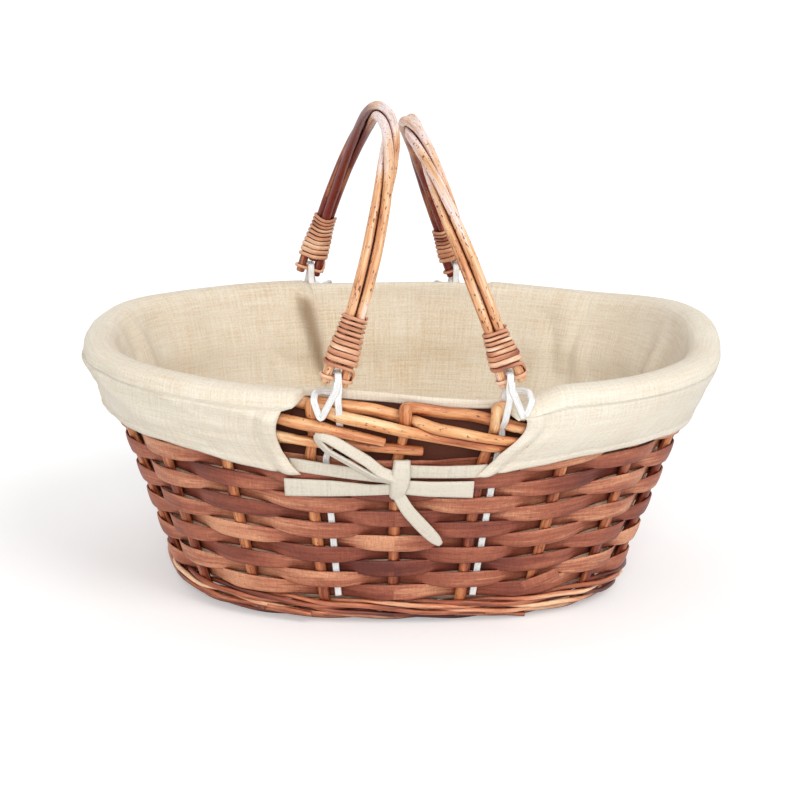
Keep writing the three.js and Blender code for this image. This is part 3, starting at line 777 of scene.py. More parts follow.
liner_under = linen("liner_under", UNDER_LIGHTENED_SHADES, painted_shade=("shut", UNDER_PAINTED_SHADE))
tie_cloth = linen("tie_cloth", TIE_SHADES)
strap_cloth = webbing("strap_webbing", WEB_SHADES)


# Chips: eleven strips, each woven round the wall, a little higher at the basket's two ends
def towards_ends(angle):
    """A share that is 1 at the two ends of the chips and the foot."""
    return smooth(np.abs(line_point(angle, MID_HEIGHT)[..., 0]), 50, 120)


def chip_height(row, angle):
    ends = towards_ends(angle)
    return lerp(CHIP_FIRST, CHIP_FIRST_ENDS, ends) + lerp(CHIP_PITCH, CHIP_PITCH_ENDS, ends) * row


def slow_waves(rng, phase, turns, size):
    """A random wave for each number of turns round the basket, added up."""
    return sum(
        rng.normal(0, size) * np.sin(2 * math.pi * (k * phase / STAKES + rng.random()))
        for k in turns
    )


def chip(row):
    phase = np.arange(STAKES * CHIP_PARTS) / CHIP_PARTS
    wave = np.cos(math.pi * (phase + row))
    wave = wave * (1.25 - 0.25 * wave**2)
    angle = stake_angle(phase)
    rng = np.random.default_rng(SEED + row)
    drift = slow_waves(rng, phase, (2, 3, 5, 8), 0.16)
    height = CHIP_HEIGHT + CHIP_SWELL * smooth(wave, 0.05, 0.85)
    height = height - CHIP_TUCK * smooth(-wave, 0.1, 0.9)
    u, v = ribbon_section(1.0, CHIP_THICKNESS / CHIP_HEIGHT, 9).T
    cup = CHIP_CUP * (1 - (2 * u) ** 2)
    out = v * CHIP_HEIGHT + cup * wave[:, None]
    tilt = wander(rng, 1100, len(phase), 0.3)[:, None] - 0.35 * wave[:, None]
    depth = CHIP_WAVE * wave[:, None] + out + tilt * u
    z = (chip_height(row, angle) + drift)[:, None] + u * height[:, None]
    rings = wall_point(angle[:, None], z, depth)
    # Painted light: the strips are darker at the middle of the long sides and lighter towards the
    # basket's two ends.
    from_middle = np.abs(line_point(angle, MID_HEIGHT)[:, 0] - 10)
    tone = rng.normal(-0.3, 0.35) + 0.5 * smooth(from_middle, 20, 130)
    tone = tone + slow_waves(rng, phase, (2, 5, 9, 13), 0.28)
    shape = Shape(f"chip_{row + 1:02d}")
    shape.add(rings, tone, loop=True)
    if row in CHIP_ENDS:
        degrees, tilt, tone = CHIP_ENDS[row]
        shape.add(chip_end(row, degrees, tilt), tone)
    return shape.make([chip_wood, chip_wood], "basket", "chip_wood", [f"wood_chip_{row + 1:02d}"])


def chip_end(row, degrees, tilt):
    """Where a strip's two ends lie over one another: the outer end's short slanting piece."""
    reach = np.linspace(-10.0, 10.0, 12)
    angle = math.radians(degrees) + reach / RIM_WIDTH
    z = chip_height(row, angle) - 4.0 + tilt * reach
    path = wall_point(angle, z, CHIP_WAVE + 2.3 - 0.006 * (reach - 10) ** 2)
    return sweep(path, wall_out(angle, z), ribbon_section(8.0, CHIP_THICKNESS, 7, 0.3))


# Stakes: each one's upright and its lying end in the border
def border_out(s):
    """How far out a lying end is: behind the next stake, before two more, then in again."""
    outward, inward = smooth(s, 1.0, 1.45), smooth(s, 3.05, 3.6)
    return BORDER_OFFSET * (2 * outward - 2 * inward - smooth(s, 0.0, 0.24))


def border_drop(s):
    """How far below the border's top a lying end is. It falls faster past the next stake."""
    return BORDER_FALL * s + BORDER_FALL_FASTER * np.clip(s - 0.75, 0, 2.4)


def at_ends(angle):
    """A share that is 1 at the two ends of the border and the cuffs."""
    return smooth(np.abs(line_point(angle, BORDER_TOP)[..., 0]), 105, 165)


def border_sink(angle):
    """The border lies lower under the front's right handle."""
    degrees = np.degrees(angle) % 360
    return BORDER_SINK * between(degrees, *BORDER_SINK_DEGREES)


def lying_end(index, rng):
    """A stake's end along the border, by its distance s from the stake's foot in stakes."""
    lower, end = SEEN_RODS.get(index, (rng.uniform(-1.0, 1.0), BORDER_END))
    first = [BORDER_LEAN + 0.03, BORDER_LEAN + 0.1]
    s = np.concatenate([first, np.arange(0.32, end, 0.12), [end]])
    drop = border_drop(s) + lower * smooth(s, -0.1, 0.9) + wander(rng, 200, len(s), 0.3)
    drop = np.minimum(drop, BORDER_DEEPEST + 0.6 * s)
    out = border_out(s)
    if index == GOES_IN_LATE:
        out = np.where(s > 2.5, lerp(BORDER_OFFSET, 2.4, smooth(s, 2.9, 3.4)), out)
    if index == CUT_IN_FRONT:
        out = border_out(np.minimum(s, 3.0)) + 1.4 * smooth(s, 2.2, 2.8)
    angle = stake_angle(index + s)
    out = out * (1 - BORDER_CLOSER * at_ends(angle))
    return wall_point(angle, BORDER_TOP - border_sink(angle) - drop, out)


def stake_line(index, rng):
    """A stake's centre line: up the wall, over its knee and along the border."""
    lying = lying_end(index, rng)
    top = BORDER_TOP - float(border_sink(stake_angle(index)))
    z = np.linspace(STAKE_FOOT, top - 3, 20)
    leaning = stake_angle(index + BORDER_LEAN * smooth(z, 100, 136))
    upright = wall_point(leaning, z, KNOB_OUT * smooth(z, 126, 140))
    above, offset = np.transpose(KNEE)
    knee = wall_point(stake_angle(index + BORDER_LEAN), top + above, offset)
    return soften(np.vstack([upright, knee, lying]), 1.0, 1.1)


def stake(index):
    name = f"stake_{index + 1:02d}"
    rng = np.random.default_rng(SEED + 100 + index)
    line = stake_line(index, rng)
    z = line[:, 2]
    seen = 1 - smooth(np.abs(line[:, 0] - WINDOW_CENTRE), 62, 82)
    thick = lerp(BORDER_RADIUS, BORDER_RADIUS_SEEN, seen)
    radius = lerp(STAKE_RADIUS, thick, smooth(z, 122, 140)) + wander(rng, 260, len(z), 0.12)
    radius[-TIP_LENGTH:] *= np.linspace(1, 0.9, TIP_LENGTH)
    tone = rng.normal(0, 0.3) if index not in SEEN_RODS else 0.15
    tone = tone + wander(rng, 260, len(z), 0.25) - 0.2 * smooth(-z, -128, -112)
    tone = tone - 0.75 * smooth(-z, -104, -92)
    wider = lerp(STAKE_WIDER, 1.0, smooth(z, 112, 126))
    section = np.stack([round_section(14, w) for w in with_ends(wider)])
    shape = Shape(f"willow_{name}")
    shape.add(rod(line, radius, section=section), with_ends(tone))
    return shape.make([stake_wood, cut_wood], "basket", "stake_willow", [name])


# Foot: three wales, each of three thin rods that pass two stakes in front and one behind
def rolling(values):
    """The mean of a closed line's values under a short window."""
    kernel = np.array([1, 3, 5, 6, 5, 3, 1]) / 24
    reach = len(kernel) // 2
    return np.convolve(np.concatenate([values[-reach:], values, values[:reach]]), kernel, "valid")


def wale(row):
    rng = np.random.default_rng(SEED + 200 + row)
    level = WALE_RISE + WALE_PITCH * row
    inset = WALE_INSET if row == 0 else 0.0
    phase = np.arange(3 * STAKES * WALE_PARTS) / WALE_PARTS
    beat = (phase + row + 0.5) % 3
    beats = [0.0, 0.5, 1.5, 2.0, 2.5, 3.0]
    out = rolling(np.interp(beat, beats, [0.0, 1.0, 1.0, 0.0, -1.0, 0.0]))
    rise = rolling(np.interp(beat, beats, [1.2, 1.0, -1.0, -1.2, 0.0, 1.2]))
    angle = stake_angle(phase)
    loose = WALE_LOOSE * slow_waves(rng, phase / 3, (17, 29, 41, 67), 0.5)
    z = level + rise * WALE_RADIUS + loose * (1 if row else 0.3)
    z = z * (1 + WALE_RAISE * towards_ends(angle) * (row > 0))
    path = wall_point(angle, z, out * WALE_OFFSET - inset)
    spots = np.linspace(0, 3 * STAKES, 29)
    spread = rng.normal(0, 0.8, len(spots))
    spread[-1] = spread[0]
    shape = Shape(f"foot_wale_{row + 1}")
    rings = sweep(path, outward_at(path), round_section(10), WALE_RADIUS, loop=True)
    shape.add(rings, np.interp(phase, spots, spread), loop=True)
    for degrees in WALE_ENDS[row]:
        reach = np.linspace(-16, 9, 14)
        angle = math.radians(degrees) + reach / FOOT_LENGTH
        out = WALE_OFFSET - inset + 0.6 + 0.004 * (reach + 16) ** 2
        path = wall_point(angle, level + 1.5 - 0.11 * (reach + 16), out)
        shape.add(rod(path, WALE_RADIUS, sides=10, bevel=0.3), rng.normal(0.2, 0.4))
    return shape.make([foot_wood, cut_wood], "basket", "foot_willow", [f"foot_rod_{row + 1}"])


# Base: sticks from the middle outward, with rods woven round them
def straight_up(path):
    return np.tile([0.0, 0.0, 1.0], (len(path), 1))


def base():
    shape = Shape("base_rounds")
    for k in range(BASE_STICKS // 2):
        angle = math.pi * (k + 0.5) / (BASE_STICKS / 2)
        ends = [wall_point(a, BASE_MIDDLE, -BASE_INSET) for a in (angle, angle + math.pi)]
        line = resample(ends, 6.0)
        line[:, 2] = BASE_MIDDLE
        shape.add(rod(line, BASE_STICK_RADIUS, straight_up(line), 8), 0.2 * (k % 3))
    phase = np.arange(BASE_STICKS * 8) / 8
    angle = 2 * math.pi * phase / BASE_STICKS
    edge = wall_point(angle, 2.0, -BASE_INSET)
    for k in range(BASE_ROUNDS):
        path = edge * (k + 1.2) / (BASE_ROUNDS + 0.2)
        path[:, 2] = BASE_MIDDLE + BASE_ROUND_WAVE * np.cos(math.pi * (phase + k + 0.5))
        rings = sweep(path, straight_up(path), round_section(8), BASE_ROUND_RADIUS, loop=True)
        shape.add(rings, 0.5 * math.sin(k * 2.4), loop=True)
    return shape.make([foot_wood, cut_wood], "basket", "foot_willow", ["base_weave"])


# Liner: one cloth, from its floor up the wall, over the rim and down as two cuffs
def window_half(share):
    """Half the window's length, at a share of the way down its cuff."""
    rounding = WINDOW_MIDDLE - (WINDOW_TOP + WINDOW_HEM) / 2
    return lerp(WINDOW_TOP, WINDOW_HEM, share) + 4 * share * (1 - share) * rounding


def window_edge(side, end, down, z):
    """The angle where a side's window meets the right (1) or the left (-1) cuff."""
    middle = WINDOW_CENTRE - WINDOW_DRIFT * down
    reach = -side * end * window_half(down)
    flap = WINDOW_FLAP * smooth(down, 0.35, 0.75) * (reach > 0)
    return angle_at(side, turned(side, middle + reach - flap), z)


def folds(rng, arc, z, count, high, tilt, length, width, size):
    """Soft folds at random places of the cloth: arc is a place round it, and z its height."""
    total = np.zeros(np.broadcast(arc, z).shape)
    for _ in range(count):
        beside, above = arc - rng.uniform(0, GIRTH), z - rng.uniform(*high)
        turn = math.radians(rng.normal(*tilt))
        along = beside * math.cos(turn) + above * math.sin(turn)
        across = above * math.cos(turn) - beside * math.sin(turn)
        wide = rng.uniform(*width)
        taper = np.exp(-((along / rng.uniform(*length)) ** 4))
        ridge = np.exp(-((across / wide) ** 2))
        total += rng.uniform(*size) * rng.choice([-1, 1]) * taper * ridge
    return total


def roll_profile(points):
    """A profile in the same number of rows, whatever its length."""
    line = resample(soften(points, 0.4, 1.2), 0.4)
    return line[np.linspace(0, len(line) - 1, ROLL_ROWS).round().astype(int)]


class Liner:
    """The cloth as rows of points from the floor's middle to the hem, in columns round the rim.

    Each column is in a zone: the right or left cuff, or the back or front window between them.
    """

    def __init__(self):
        self.rng = np.random.default_rng(SEED + 300)
        right, left = (
            [window_edge(side, end, 0.0, ROLL_TOP) for side in (-1, 1)] for end in (1, -1)
        )
        spans = {
            "right": (right[0], right[1]),
            "back": (right[1], left[1]),
            "left": (left[1], left[0] + 2 * math.pi),
            "front": (left[0] + 2 * math.pi, right[0] + 2 * math.pi),
        }
        angles, shares, zones = [], [], []
        for zone, (low, high) in spans.items():
            count = int(round((high - low) * ROUND_RADIUS / COLUMN_STEP))
            shares.append(np.arange(count) / count)
            angles.append(lerp(low, high, shares[-1]))
            zones += [zone] * count
        self.angle, self.share = np.concatenate(angles), np.concatenate(shares)
        self.zone, self.count = np.array(zones), len(zones)
        self.arc = self.angle * ROUND_RADIUS
        self.in_cuff = (self.zone == "right") | (self.zone == "left")
        self.open = np.zeros(self.count)
        for zone in ("back", "front"):
            low, high = spans[zone]
            reach = ROUND_RADIUS * np.minimum(self.angle - low, high - self.angle)
            self.open = np.where(self.zone == zone, smooth(reach, 0.0, WINDOW_EASE), self.open)
        self.wave = self.rim_wave()
        inside = np.concatenate([self.floor(), self.wall_and_roll()])
        self.inner_rows = len(inside)
        self.rows = np.concatenate([inside, self.cuffs()])

    def rim_wave(self):
        """How much the rim is raised at the back right, and sunk towards the front right."""
        degrees = (np.degrees(self.angle) % 360 + 180) % 360
        past_edge = ROUND_RADIUS * (self.angle - self.angle[0])
        front = smooth(self.share, -0.1, 1.0) - smooth(0.0, -0.1, 1.0)
        sunk = np.where(self.zone == "front", front, 0.0)
        sunk = np.where(self.zone == "right", 1 - smooth(past_edge, 0, 26), sunk)
        lift = BACK_RIGHT_LIFT * between(degrees, 150, 186, 196, 228) - FRONT_HEM_SINK * sunk
        return 0.4 * np.sin(self.arc / 31.0) + 0.4 * np.sin(self.arc / 17.0 + 1.0) + lift

    def floor(self):
        """Rings from the floor's middle outward."""
        edge = wall_point(self.angle, FLOOR_TOP, FLOOR_EDGE)
        rings = np.linspace(0.003, 0.96, FLOOR_RINGS)[:, None, None] * edge
        rings[..., 2] = FLOOR_TOP
        return rings

    def wall_and_roll(self):
        """Rows up the wall, with folds and the pleat, and over the rim."""
        wall = soften(WALL_PROFILE, 3.2, 4.0)
        cuff, window = (
            np.vstack([wall, roll_profile(roll)[1:]]) for roll in (ROLL_OVER_CUFF, HEM_AT_WINDOW)
        )
        depth, z = (lerp(cuff[:, k, None], window[:, k, None], self.open) for k in (0, 1))
        self.z = z = z + smooth(z, 120, 152) * self.wave
        soft = np.abs(folds(self.rng, self.arc, z, **INNER_FOLDS))
        soft = soft * smooth(z, 12, 40) * (1 - 0.8 * smooth(z, 140, 154))
        pleat_line = math.radians(PLEAT_DEGREES) * ROUND_RADIUS - (PLEAT_TOP - z) * PLEAT_SLANT
        self.beside = beside = pleat_line - self.arc
        pleat = np.where(beside > 0, np.exp(-beside / PLEAT_FADE), bump_at(beside, 0, 1.5))
        pleat = pleat * between(z, PLEAT_LOW, 125, PLEAT_TOP, 156)
        return wall_point(self.angle, z, depth - soft - PLEAT_DEEP * pleat)

    def cuffs(self):
        """Rows down the two cuffs, each with one more column at its far edge."""
        profile = soften(CUFF_PROFILE, 1.8, 1.6)
        level = profile[1:, 1][:, None] * np.ones(self.count)
        down = np.clip((ROLL_TOP - level) / (ROLL_TOP - CUFF_HEM), 0, 1)
        angle = np.tile(self.angle, (len(level), 1))
        from_edge = np.full(self.count, 1e3)
        for end, zone in ((1, "right"), (-1, "left")):
            inside = self.zone == zone
            front, rear = (window_edge(side, end, down, level) for side in (-1, 1))
            low, high = (front, rear) if end > 0 else (rear, front + 2 * math.pi)
            angle[:, inside] = lerp(low, high, self.share)[:, inside]
            last = np.nonzero(inside)[0][-1]
            after = (last + 1) % self.count
            angle[:, after] = high[:, last]
            nearest = np.minimum(self.share, 1 - self.share)[inside]
            from_edge[inside] = ROUND_RADIUS * nearest * float((high - low)[0, 0])
            from_edge[after] = 0.0
        out = self.cuff_folds(angle * ROUND_RADIUS, level, down, from_edge)
        out = out - 0.7 * bump_at(down, 0.86, 0.02)
        along = np.abs(line_point(self.angle, ROLL_TOP)[:, 0] - WINDOW_CENTRE)
        climb = HEM_RISE * smooth(along, 60, 150) + wander(self.rng, 900, self.count, 0.6)
        z = level + climb * down**2
        depth = np.interp(z, profile[::-1, 1], profile[::-1, 0])
        closer = at_ends(angle) * smooth(depth, 6, 10) * smooth(-z, -148, -130)
        depth = depth - CUFF_CLOSER * closer
        crease = 1.6 * bump_at(z, CREASE_HEIGHT - 0.03 * from_edge, 1.6)
        crease = crease * (self.zone == "left") * (self.angle > math.pi)
        crease = crease * between(from_edge, 4, 20, 120, 170)
        fall = self.wave * (1 - smooth(down, 0.0, 0.35))
        return wall_point(angle, z + fall, depth + out - crease)

    def cuff_folds(self, arc, level, down, from_edge):
        """Folds and fine lines, and the turned edge beside the window."""
        soft = np.abs(folds(self.rng, arc, level, **CUFF_FOLDS))
        soft = soft + folds(self.rng, arc, level, **CUFF_LINES)
        edge = 2.3 * bump_at(from_edge, 5.0, 3.4) - 1.6 * bump_at(from_edge, 11.0, 1.7)
        soft = soft * smooth(down, 0.02, 0.2) * (1 - 0.5 * smooth(down, 0.85, 1.0))
        return soft + edge * smooth(down, 0.05, 0.3)

    def values(self):
        """The cloth's tone, and its painted shade: darker inside and on the left cuff, in the
        pleat's crease, and behind the border rods.
        """
        x = line_point(self.angle, ROLL_TOP)[:, 0]
        back = np.sin(self.angle) > 0
        # Painted shade: the inside is darker and warmer than the cuffs, darker still at the back's
        # middle, and the left cuff is darker than the right.
        inside = -0.62 - 0.25 * bump_at(x, 0, 90.0) * back
        outside = -0.32 - 0.16 * smooth(-x, 0, 150)
        tone, folded, shut = np.zeros((3,) + self.rows.shape[:2])
        tone[: self.inner_rows] = inside
        tone[self.inner_rows :] = outside
        turning = slice(self.inner_rows - 12, self.inner_rows)
        tone[turning] = lerp(inside, outside, np.linspace(0, 1, 12)[:, None])
        wall, z = slice(FLOOR_RINGS, self.inner_rows), self.z
        # Painted shade along the pleat's crease on the inside.
        wedge = 1.6 + 3.4 * between(z, 82, 130, 138, 156)
        folded[wall] = 0.8 * bump_at(self.beside, 1.0, wedge) * between(z, 80, 100, 144, 153)
        # Painted shade: the cloth's outer face behind the border rods is dark brown, as the shaded
        # wood there.
        shut[wall] = between(z, 99, 108, 148, 154)
        return {"tone": tone, "folded": folded, "shut": shut}

    def make(self):
        skip = np.zeros((len(self.rows) - 1, self.count), bool)
        skip[self.inner_rows - 1 :] = ~self.in_cuff
        i, j = np.nonzero(~skip)
        corners = [(i, j), (i, j + 1), (i + 1, j + 1), (i + 1, j)]
        faces = np.stack([a * self.count + b % self.count for a, b in corners], -1)
        used = np.zeros(len(self.rows) * self.count, bool)
        used[faces.ravel()] = True
        climb = np.linalg.norm(np.diff(self.rows, axis=0), axis=2).mean(1)
        up = np.concatenate([[0], np.cumsum(climb)])
        uv = np.stack([np.stack([COLUMN_STEP * b, up[a]], -1) for a, b in corners], 1)
        values = {key: part.reshape(-1)[used] for key, part in self.values().items()}
        # Its first material is the lightened linen of painted light, for the face towards the wood.
        mesh = make_mesh("liner_sheet", self.rows.reshape(-1, 3)[used],
                         (np.cumsum(used) - 1)[faces].tolist(), uv, values,
                         [liner_under, liner_cloth])
        mesh.polygons.foreach_set("use_smooth", np.ones(len(mesh.polygons), bool))
        mesh.update()
        obj = linked("liner_sheet", mesh)
        thick = obj.modifiers.new("thickness", "SOLIDIFY")
        thick.material_offset = 1
        thick.thickness = CLOTH * MM
        thick.offset = 0.0
        return stand_for(obj, "basket", ["liner"])


# Ties: tapes laid along the wall, through points of (x, z, offset from the wall, width)
def tape_line(side, points, blur):
    x, z, offset, width = soften(points, 1.6, blur).T
    angle = angle_at(side, turned(side, x), z)
    return wall_point(angle, z, offset), wall_out(angle, z), width


def from_knot(points, full=TAPE_WIDTH):
    """A line of the bow, as points along the wall."""
    return [
        (BOW_CENTRE + x, BOW_HEIGHT + z, TAPE_OFFSET + out, share * full)
        for x, z, out, share in points
    ]


def tape(shape, side, points, tone, thickness=TAPE_THICKNESS, cup=0.3):
    path, out, width = tape_line(side, points, 3.0)
    section = np.stack([ribbon_section(w, thickness, 9, cup, 0.25) for w in width])
    shape.add(sweep(path, out, section), tone)


def bow_loop(shape, side, tone):
    """The bow's loop is seen on the tape's edge, so that its width stands out from the wall."""
    points = from_knot([point + (1,) for point in BOW_LOOP])
    path, out, _ = tape_line(side, points, 1.8)
    section = ribbon_section(LOOP_DEPTH, TAPE_THICKNESS, 7, 0.0, 0.35)
    c, s = math.cos(LOOP_TURN), math.sin(LOOP_TURN)
    section = section[:, ::-1] * [1, -1] @ np.array([[c, s], [-s, c]])
    shape.add(sweep(path, out, section), tone)


def tie_sheet(shape, nodes):
    """The tapes as one object that rides on the basket, in the place of their solids."""
    obj = shape.make([tie_cloth, tie_cloth], "basket", "liner_cloth", nodes)


def bow(side):
    face = "front" if side < 0 else "back"
    shape = Shape(f"bow_cloth_{face}")
    tape(shape, side, from_knot(BOW_LEFT_END), 0.05)
    tape(shape, side, from_knot(BOW_RIGHT_END), 0.1)
    tape(shape, side, from_knot(BOW_TAIL), 0.1)
    bow_loop(shape, side, 0.1)
    tape(shape, side, from_knot(BOW_KNOT, KNOT_WIDTH), 0.15, thickness=3.0, cup=0.8)
    tie_sheet(shape, [f"bow_{face}"])


def tie(side, end):
    face, which = ("front" if side < 0 else "back"), ("left" if end < 0 else "right")
    shape = Shape(f"tie_cloth_{face}_{which}")
    straight = -side * end > 0
    corner = WINDOW_CENTRE - WINDOW_DRIFT + end * (WINDOW_HEM + 2)
    corner -= WINDOW_FLAP if straight else 0
    edge = BOW_CENTRE + end * 3
    z = BOW_HEIGHT + TIE_LIFT
    rise = TIE_STRAIGHT if straight else TIE_SLANTING
    tape(shape, side, [
        (corner + end * 5, z + rise[0], TIE_OFFSET - 1.8, TIE_WIDTH),
        (corner - end * 2, z + rise[1], TIE_OFFSET - 0.4, TIE_WIDTH),
        (lerp(corner, edge, 0.5), z + rise[2], TIE_OFFSET, 0.95 * TIE_WIDTH),
        (edge, z + rise[3], TIE_OFFSET, TIE_WIDTH),
    ], -0.05)
    tie_sheet(shape, [f"tie_{face}_{which}"])


# Handles, in their own plane: x along the basket, y across it and z above the pivot
class Arch:
    """One handle's centre line, with the places and frames along it from its front pivot."""

    def __init__(self, name, pivot, lean, rise, bound, turns, paleness, seed):
        self.name, self.pivot, self.lean = name, pivot, math.radians(lean)
        self.bound, self.turns, self.paleness, self.seed = bound, turns, paleness, seed
        turn = np.linspace(0, math.pi, ARCH_PARTS + 1)
        power = 2 / ARCH_POWER
        across = -np.sign(np.cos(turn)) * np.abs(np.cos(turn)) ** power * PIVOT_WIDTH
        high = np.clip(np.sin(turn), 0, None) ** power * rise
        self.points = np.stack([np.zeros_like(across), across, high], -1)
        self.far = lengths(self.points)
        self.length = float(self.far[-1])

    def at(self, far):
        """The centre line's points at lengths from the front pivot."""
        return read_at(np.clip(far, 0, self.length), self.far, self.points)

    def frame(self, length):
        """Points at lengths, also past the pivots, and the ways sideways and outward there."""
        along = unit(self.at(length + 1.5) - self.at(length - 1.5))
        along[length <= 0] = (0, 0, 1)
        along[length >= self.length] = (0, 0, -1)
        at = self.at(length) + along * (length - np.clip(length, 0, self.length))[:, None]
        side = np.tile([1.0, 0.0, 0.0], (len(length), 1))
        return at, side, np.cross(side, along)

    def rod_place(self, index, length):
        """A rod's place beside the centre line: twisted along the grip, and spread at its ends."""
        reach = np.minimum(length, self.length - length)
        spread = 1 - smooth(reach, 4, self.bound)
        turn = 2 * math.pi * TWIST_TURNS * smooth(length, self.bound, self.length - self.bound)
        beside = ROD_LAY * math.sin(math.pi / 3)
        x, y = [(-beside, ROD_LAY / 2), (beside, ROD_LAY / 2), (0, -ROD_LAY)][index]
        end_u, end_v = [(-END_SPREAD, 0), (END_SPREAD, 0), (0, -ROD_LAY - GAP)][index]
        u = x * np.cos(turn) - y * np.sin(turn)
        v = x * np.sin(turn) + y * np.cos(turn)
        return lerp(u, end_u, spread), lerp(v, end_v, spread)

    def placed(self, points):
        """The handle's own points leant over and set on its pivots."""
        x, y, z = np.moveaxis(points, -1, 0)
        c, s = math.cos(self.lean), math.sin(self.lean)
        return np.stack([self.pivot + x * c + z * s, y, PIVOT_HEIGHT - x * s + z * c], -1)

    def make(self, shape, materials, slot, piece):
        node = f"{self.name}_handle_{piece}"
        return shape.make(materials, f"{self.name}_handle", slot, [node])


def handle_rod(arch, index):
    rng = np.random.default_rng(SEED + 400 + index + arch.seed)
    start = SHORT_END if index == 2 else -END_DROP
    length = np.linspace(start, arch.length - start, 190)
    at, side, out = arch.frame(length)
    u, v = arch.rod_place(index, length)
    u = u + wander(rng, 420, len(length), 0.12)
    path = at + side * u[:, None] + out * v[:, None]
    radius = ROD_RADIUS + wander(rng, 420, len(length), 0.08)
    share = length / arch.length
    tone = rng.normal(0, 0.3) + wander(rng, 420, len(length), 0.25)
    # Painted highlight: the rods are paler over the arch's top. They are also darker along the back
    # legs.
    tone = tone + arch.paleness * bump_at(share, 0.46, 0.13) - 1.15 * smooth(share, 0.56, 0.7)
    shape = Shape(f"{arch.name}_willow_rod_{index + 1}")
    shape.add(arch.placed(rod(path, radius, out, 16, 0.6)), with_ends(tone))
    return arch.make(shape, [handle_wood, cut_wood], "handle_willow", f"rod_{index + 1}")


def binding_line(arch, back, rng):
    """A skein's line and the ways outward along it: one turn under the slot, the others above."""
    turns = np.arange(BIND_PARTS * arch.turns + 1) / BIND_PARTS
    share = np.clip((turns - 1.1) / (arch.turns - 1.1), 0, 1)
    share = share + 0.5 * BIND_FINER * share * (1 - share)
    climb = lerp(BIND_HIGH, arch.bound - 0.4, share)
    height = lerp(BIND_LOW, climb, smooth(turns, 0.85, 1.15))
    length = arch.length - height if back else height
    at, side, out = arch.frame(length)
    c, s = np.cos(2 * math.pi * turns), np.sin(2 * math.pi * turns)
    places = np.array([arch.rod_place(k, length) for k in range(3)])
    reach = places[:, 0] * c + places[:, 1] * s
    reach[2][height < 0] = -1e9
    weight = np.exp((reach - reach.max(0)) / 0.6)
    weight /= weight.sum(0)
    u, v = (weight[:, None] * places).sum(0)
    away = side * c[:, None] + out * s[:, None]
    rest = ROD_RADIUS + BIND_THICK + 0.15 + wander(rng, 300, len(turns), 0.05)
    path = at + side * u[:, None] + out * v[:, None] + away * rest[:, None]
    path = path + np.cross(side, out) * wander(rng, 500, len(turns), 0.14)[:, None]
    far = lengths(path)
    path = soften(path, 1.0, 1.0)
    return path, unit(read_at(np.linspace(0, far[-1], len(path)), far, away))


def binding(arch, back):
    rng = np.random.default_rng(SEED + 500 + (1 if back else 0) + arch.seed)
    path, outs = binding_line(arch, back, rng)
    tone = rng.normal(0, 0.15) + wander(rng, 600, len(path), 0.4)
    share = np.linspace(0, 1, len(path))
    wide = BIND_WIDTH + BIND_WIDER * between(share, 0.08, 0.24, 0.24, 0.8)
    section = np.stack([round_section(12, w) for w in with_ends(wide) / BIND_THICK])
    end = "back" if back else "front"
    shape = Shape(f"{arch.name}_skein_{end}")
    rings = rod(path, BIND_THICK, outs, bevel=0.3, section=section)
    shape.add(arch.placed(rings), with_ends(tone))
    return arch.make(shape, [bind_wood, cut_wood], "binding_skein", f"binding_{end}")


# Straps: webbing from the wall up through the handle's slot, and round the border beside it
def strap(name, side, pivot_x):
    channel = STRAP_THICKNESS / 2 + GAP
    reach = ROD_RADIUS + 2 * BIND_THICK + STRAP_THICKNESS + 1.6
    away = side * (1 if name == "left" else -1)
    angle = math.radians(STRAP_DEGREES[(name, side)])
    foot_x = [float(line_point(angle, z)[0]) for z in (STRAP_FOOT, STRAP_ENTRY)]

    def on_wall(x, z, offset):
        return wall_point(angle_at(side, x, z), z, offset)

    def on_border(points):
        return [on_wall(pivot_x + away * x, BORDER_TOP + z, out) for x, z, out in points]

    def on_handle(*points):
        return [
            np.array([pivot_x + away * x, side * (PIVOT_WIDTH + out), PIVOT_HEIGHT + z])
            for x, z, out in points
        ]

    first = [
        on_wall(foot_x[0], STRAP_FOOT, channel), on_wall(foot_x[1], STRAP_ENTRY, channel),
        on_wall(lerp(foot_x[1], pivot_x, 0.6), STRAP_ENTRY + 12, 0.6),
    ]
    first += on_border(STRAP_UP)
    first += on_handle(
        (-0.6, -END_DROP - 1.5, reach), (0, -3, reach), (0, 0, reach - 1.2),
        (0, 0, 1.2 - reach), (0, -3, -reach), (0, -9, -reach),
    )
    first += on_border(STRAP_DOWN_INSIDE)
    second = on_handle((0.6, -4, reach + 0.7), (1.0, -END_DROP - 1.5, reach + 0.7))
    second += on_border(STRAP_ROUND)
    face = "front" if side < 0 else "back"
    shape = Shape(f"webbing_{face}_{name}")
    section = ribbon_section(STRAP_WIDTH, STRAP_THICKNESS, 7, 0.0, 0.1)
    for path in (first, second):
        line = soften(path, 1.1, 1.0)
        along = unit(np.gradient(line, axis=0))
        if path is first:
            level = np.array([-side * 1.0, 0.0, 0.0])
            wide = unit(level - along * (along @ level)[:, None])
        else:
            wide = unit(np.cross(outward_at(line), along))
        thick = unit(np.cross(wide, along))
        rings = line[:, None] + wide[:, None] * section[:, :1] + thick[:, None] * section[:, 1:]
        shape.add(rings)
    nodes = [f"strap_{face}_{name}"]
    return shape.make([strap_cloth, strap_cloth], "basket", "strap_webbing", nodes)


for row in range(CHIP_ROWS):
    chip(row)
for index in range(STAKES):
    stake(index)
for row in range(3):
    wale(row)
base()

sheet = Liner().make()

for side in (-1, 1):
    bow(side)
    tie(side, -1)
    tie(side, 1)

for name, sizes in HANDLES.items():
    arch = Arch(name, **sizes)
    for index in range(3):
        handle_rod(arch, index)
    binding(arch, False)
    binding(arch, True)
    strap(name, -1, arch.pivot)
    strap(name, 1, arch.pivot)


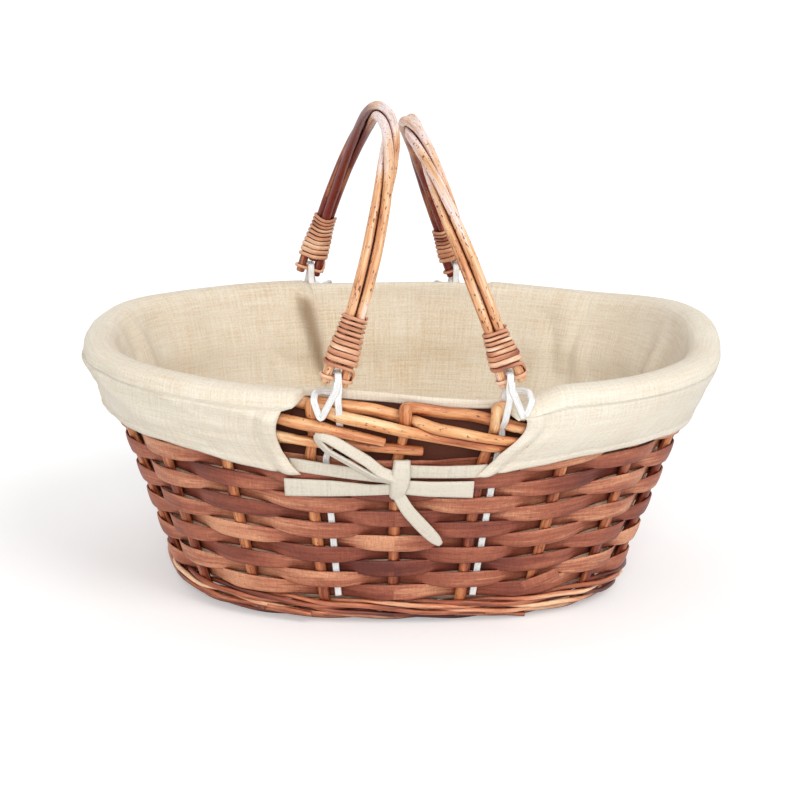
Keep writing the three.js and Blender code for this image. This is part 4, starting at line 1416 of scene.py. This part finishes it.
# Floor, light and camera
def white_where_seen(tree, plain, level):
    """A share of 1 where the camera, or a mirror or glass before it, looks straight at this."""
    path = tree.nodes.new("ShaderNodeLightPath")
    total = path.outputs["Is Camera Ray"]
    for ray in ("Is Glossy Ray", "Is Transmission Ray"):
        most = tree.nodes.new("ShaderNodeMath")
        most.operation = "MAXIMUM"
        tree.links.new(total, most.inputs[0])
        tree.links.new(path.outputs[ray], most.inputs[1])
        total = most.outputs[0]
    made = tree.nodes.new("ShaderNodeMix")
    made.data_type = "FLOAT"
    tree.links.new(total, made.inputs[0])
    made.inputs[2].default_value = plain
    made.inputs[3].default_value = level
    return made.outputs[0]


def floor():
    mesh = bpy.data.meshes.new("floor")
    corners = [(-1, -1), (1, -1), (1, 1), (-1, 1)]
    points = [(x * FLOOR_REACH, y * FLOOR_REACH, FLOOR_LEVEL) for x, y in corners]
    mesh.from_pydata(points, [], [(0, 1, 2, 3)])
    paint = Paint("floor_paper", roughness=1.0, base_color=(FLOOR_GREY,) * 3 + (1,))
    paint.shader.inputs["Specular IOR Level"].default_value = 0.0
    paint.shader.inputs["Emission Color"].default_value = (1, 1, 1, 1)
    paint.finish(emission_strength=white_where_seen(paint.tree, 0.0, FLOOR_GLOW))
    mesh.materials.append(paint.material)
    linked("floor", mesh)


def sun(name, azimuth, elevation, strength, spread):
    lamp = bpy.data.lights.new(name, "SUN")
    lamp.energy = strength
    lamp.angle = math.radians(spread)
    turn = direction(azimuth, elevation).to_track_quat("Z", "Y")
    linked(name, lamp).rotation_euler = turn.to_euler()


def studio():
    world = bpy.data.worlds.new("studio")
    bpy.context.scene.world = world
    world.use_nodes = True
    back = world.node_tree.nodes["Background"]
    back.inputs["Color"].default_value = (1, 1, 1, 1)
    level = white_where_seen(world.node_tree, AMBIENT, 1.0)
    world.node_tree.links.new(level, back.inputs["Strength"])


def photograph_camera():
    lens = bpy.data.cameras.new("camera")
    lens.sensor_width = SENSOR_WIDTH
    lens.lens = FOCAL_PIXELS / FRAME_PIXELS * SENSOR_WIDTH
    lens.shift_x = -CENTRE_SHIFT[0] / FRAME_PIXELS
    lens.shift_y = CENTRE_SHIFT[1] / FRAME_PIXELS
    lens.clip_end = 100
    backward = direction(CAMERA_AZIMUTH, CAMERA_ELEVATION)
    right = direction(CAMERA_AZIMUTH + 90, 0)
    upward = backward.cross(right)
    c, s = math.cos(math.radians(CAMERA_ROLL)), math.sin(math.radians(CAMERA_ROLL))
    axes = (right * c + upward * s, upward * c - right * s, backward)
    matrix = Matrix(axes).transposed().to_4x4()
    matrix.translation = (Vector(CAMERA_TARGET) + backward * CAMERA_DISTANCE) * MM
    camera = linked("camera", lens)
    camera.matrix_world = matrix
    bpy.context.scene.camera = camera


floor()
sun("key", *KEY)
sun("fill", *FILL)
studio()
photograph_camera()
bpy.context.scene.view_settings.view_transform = "Standard"
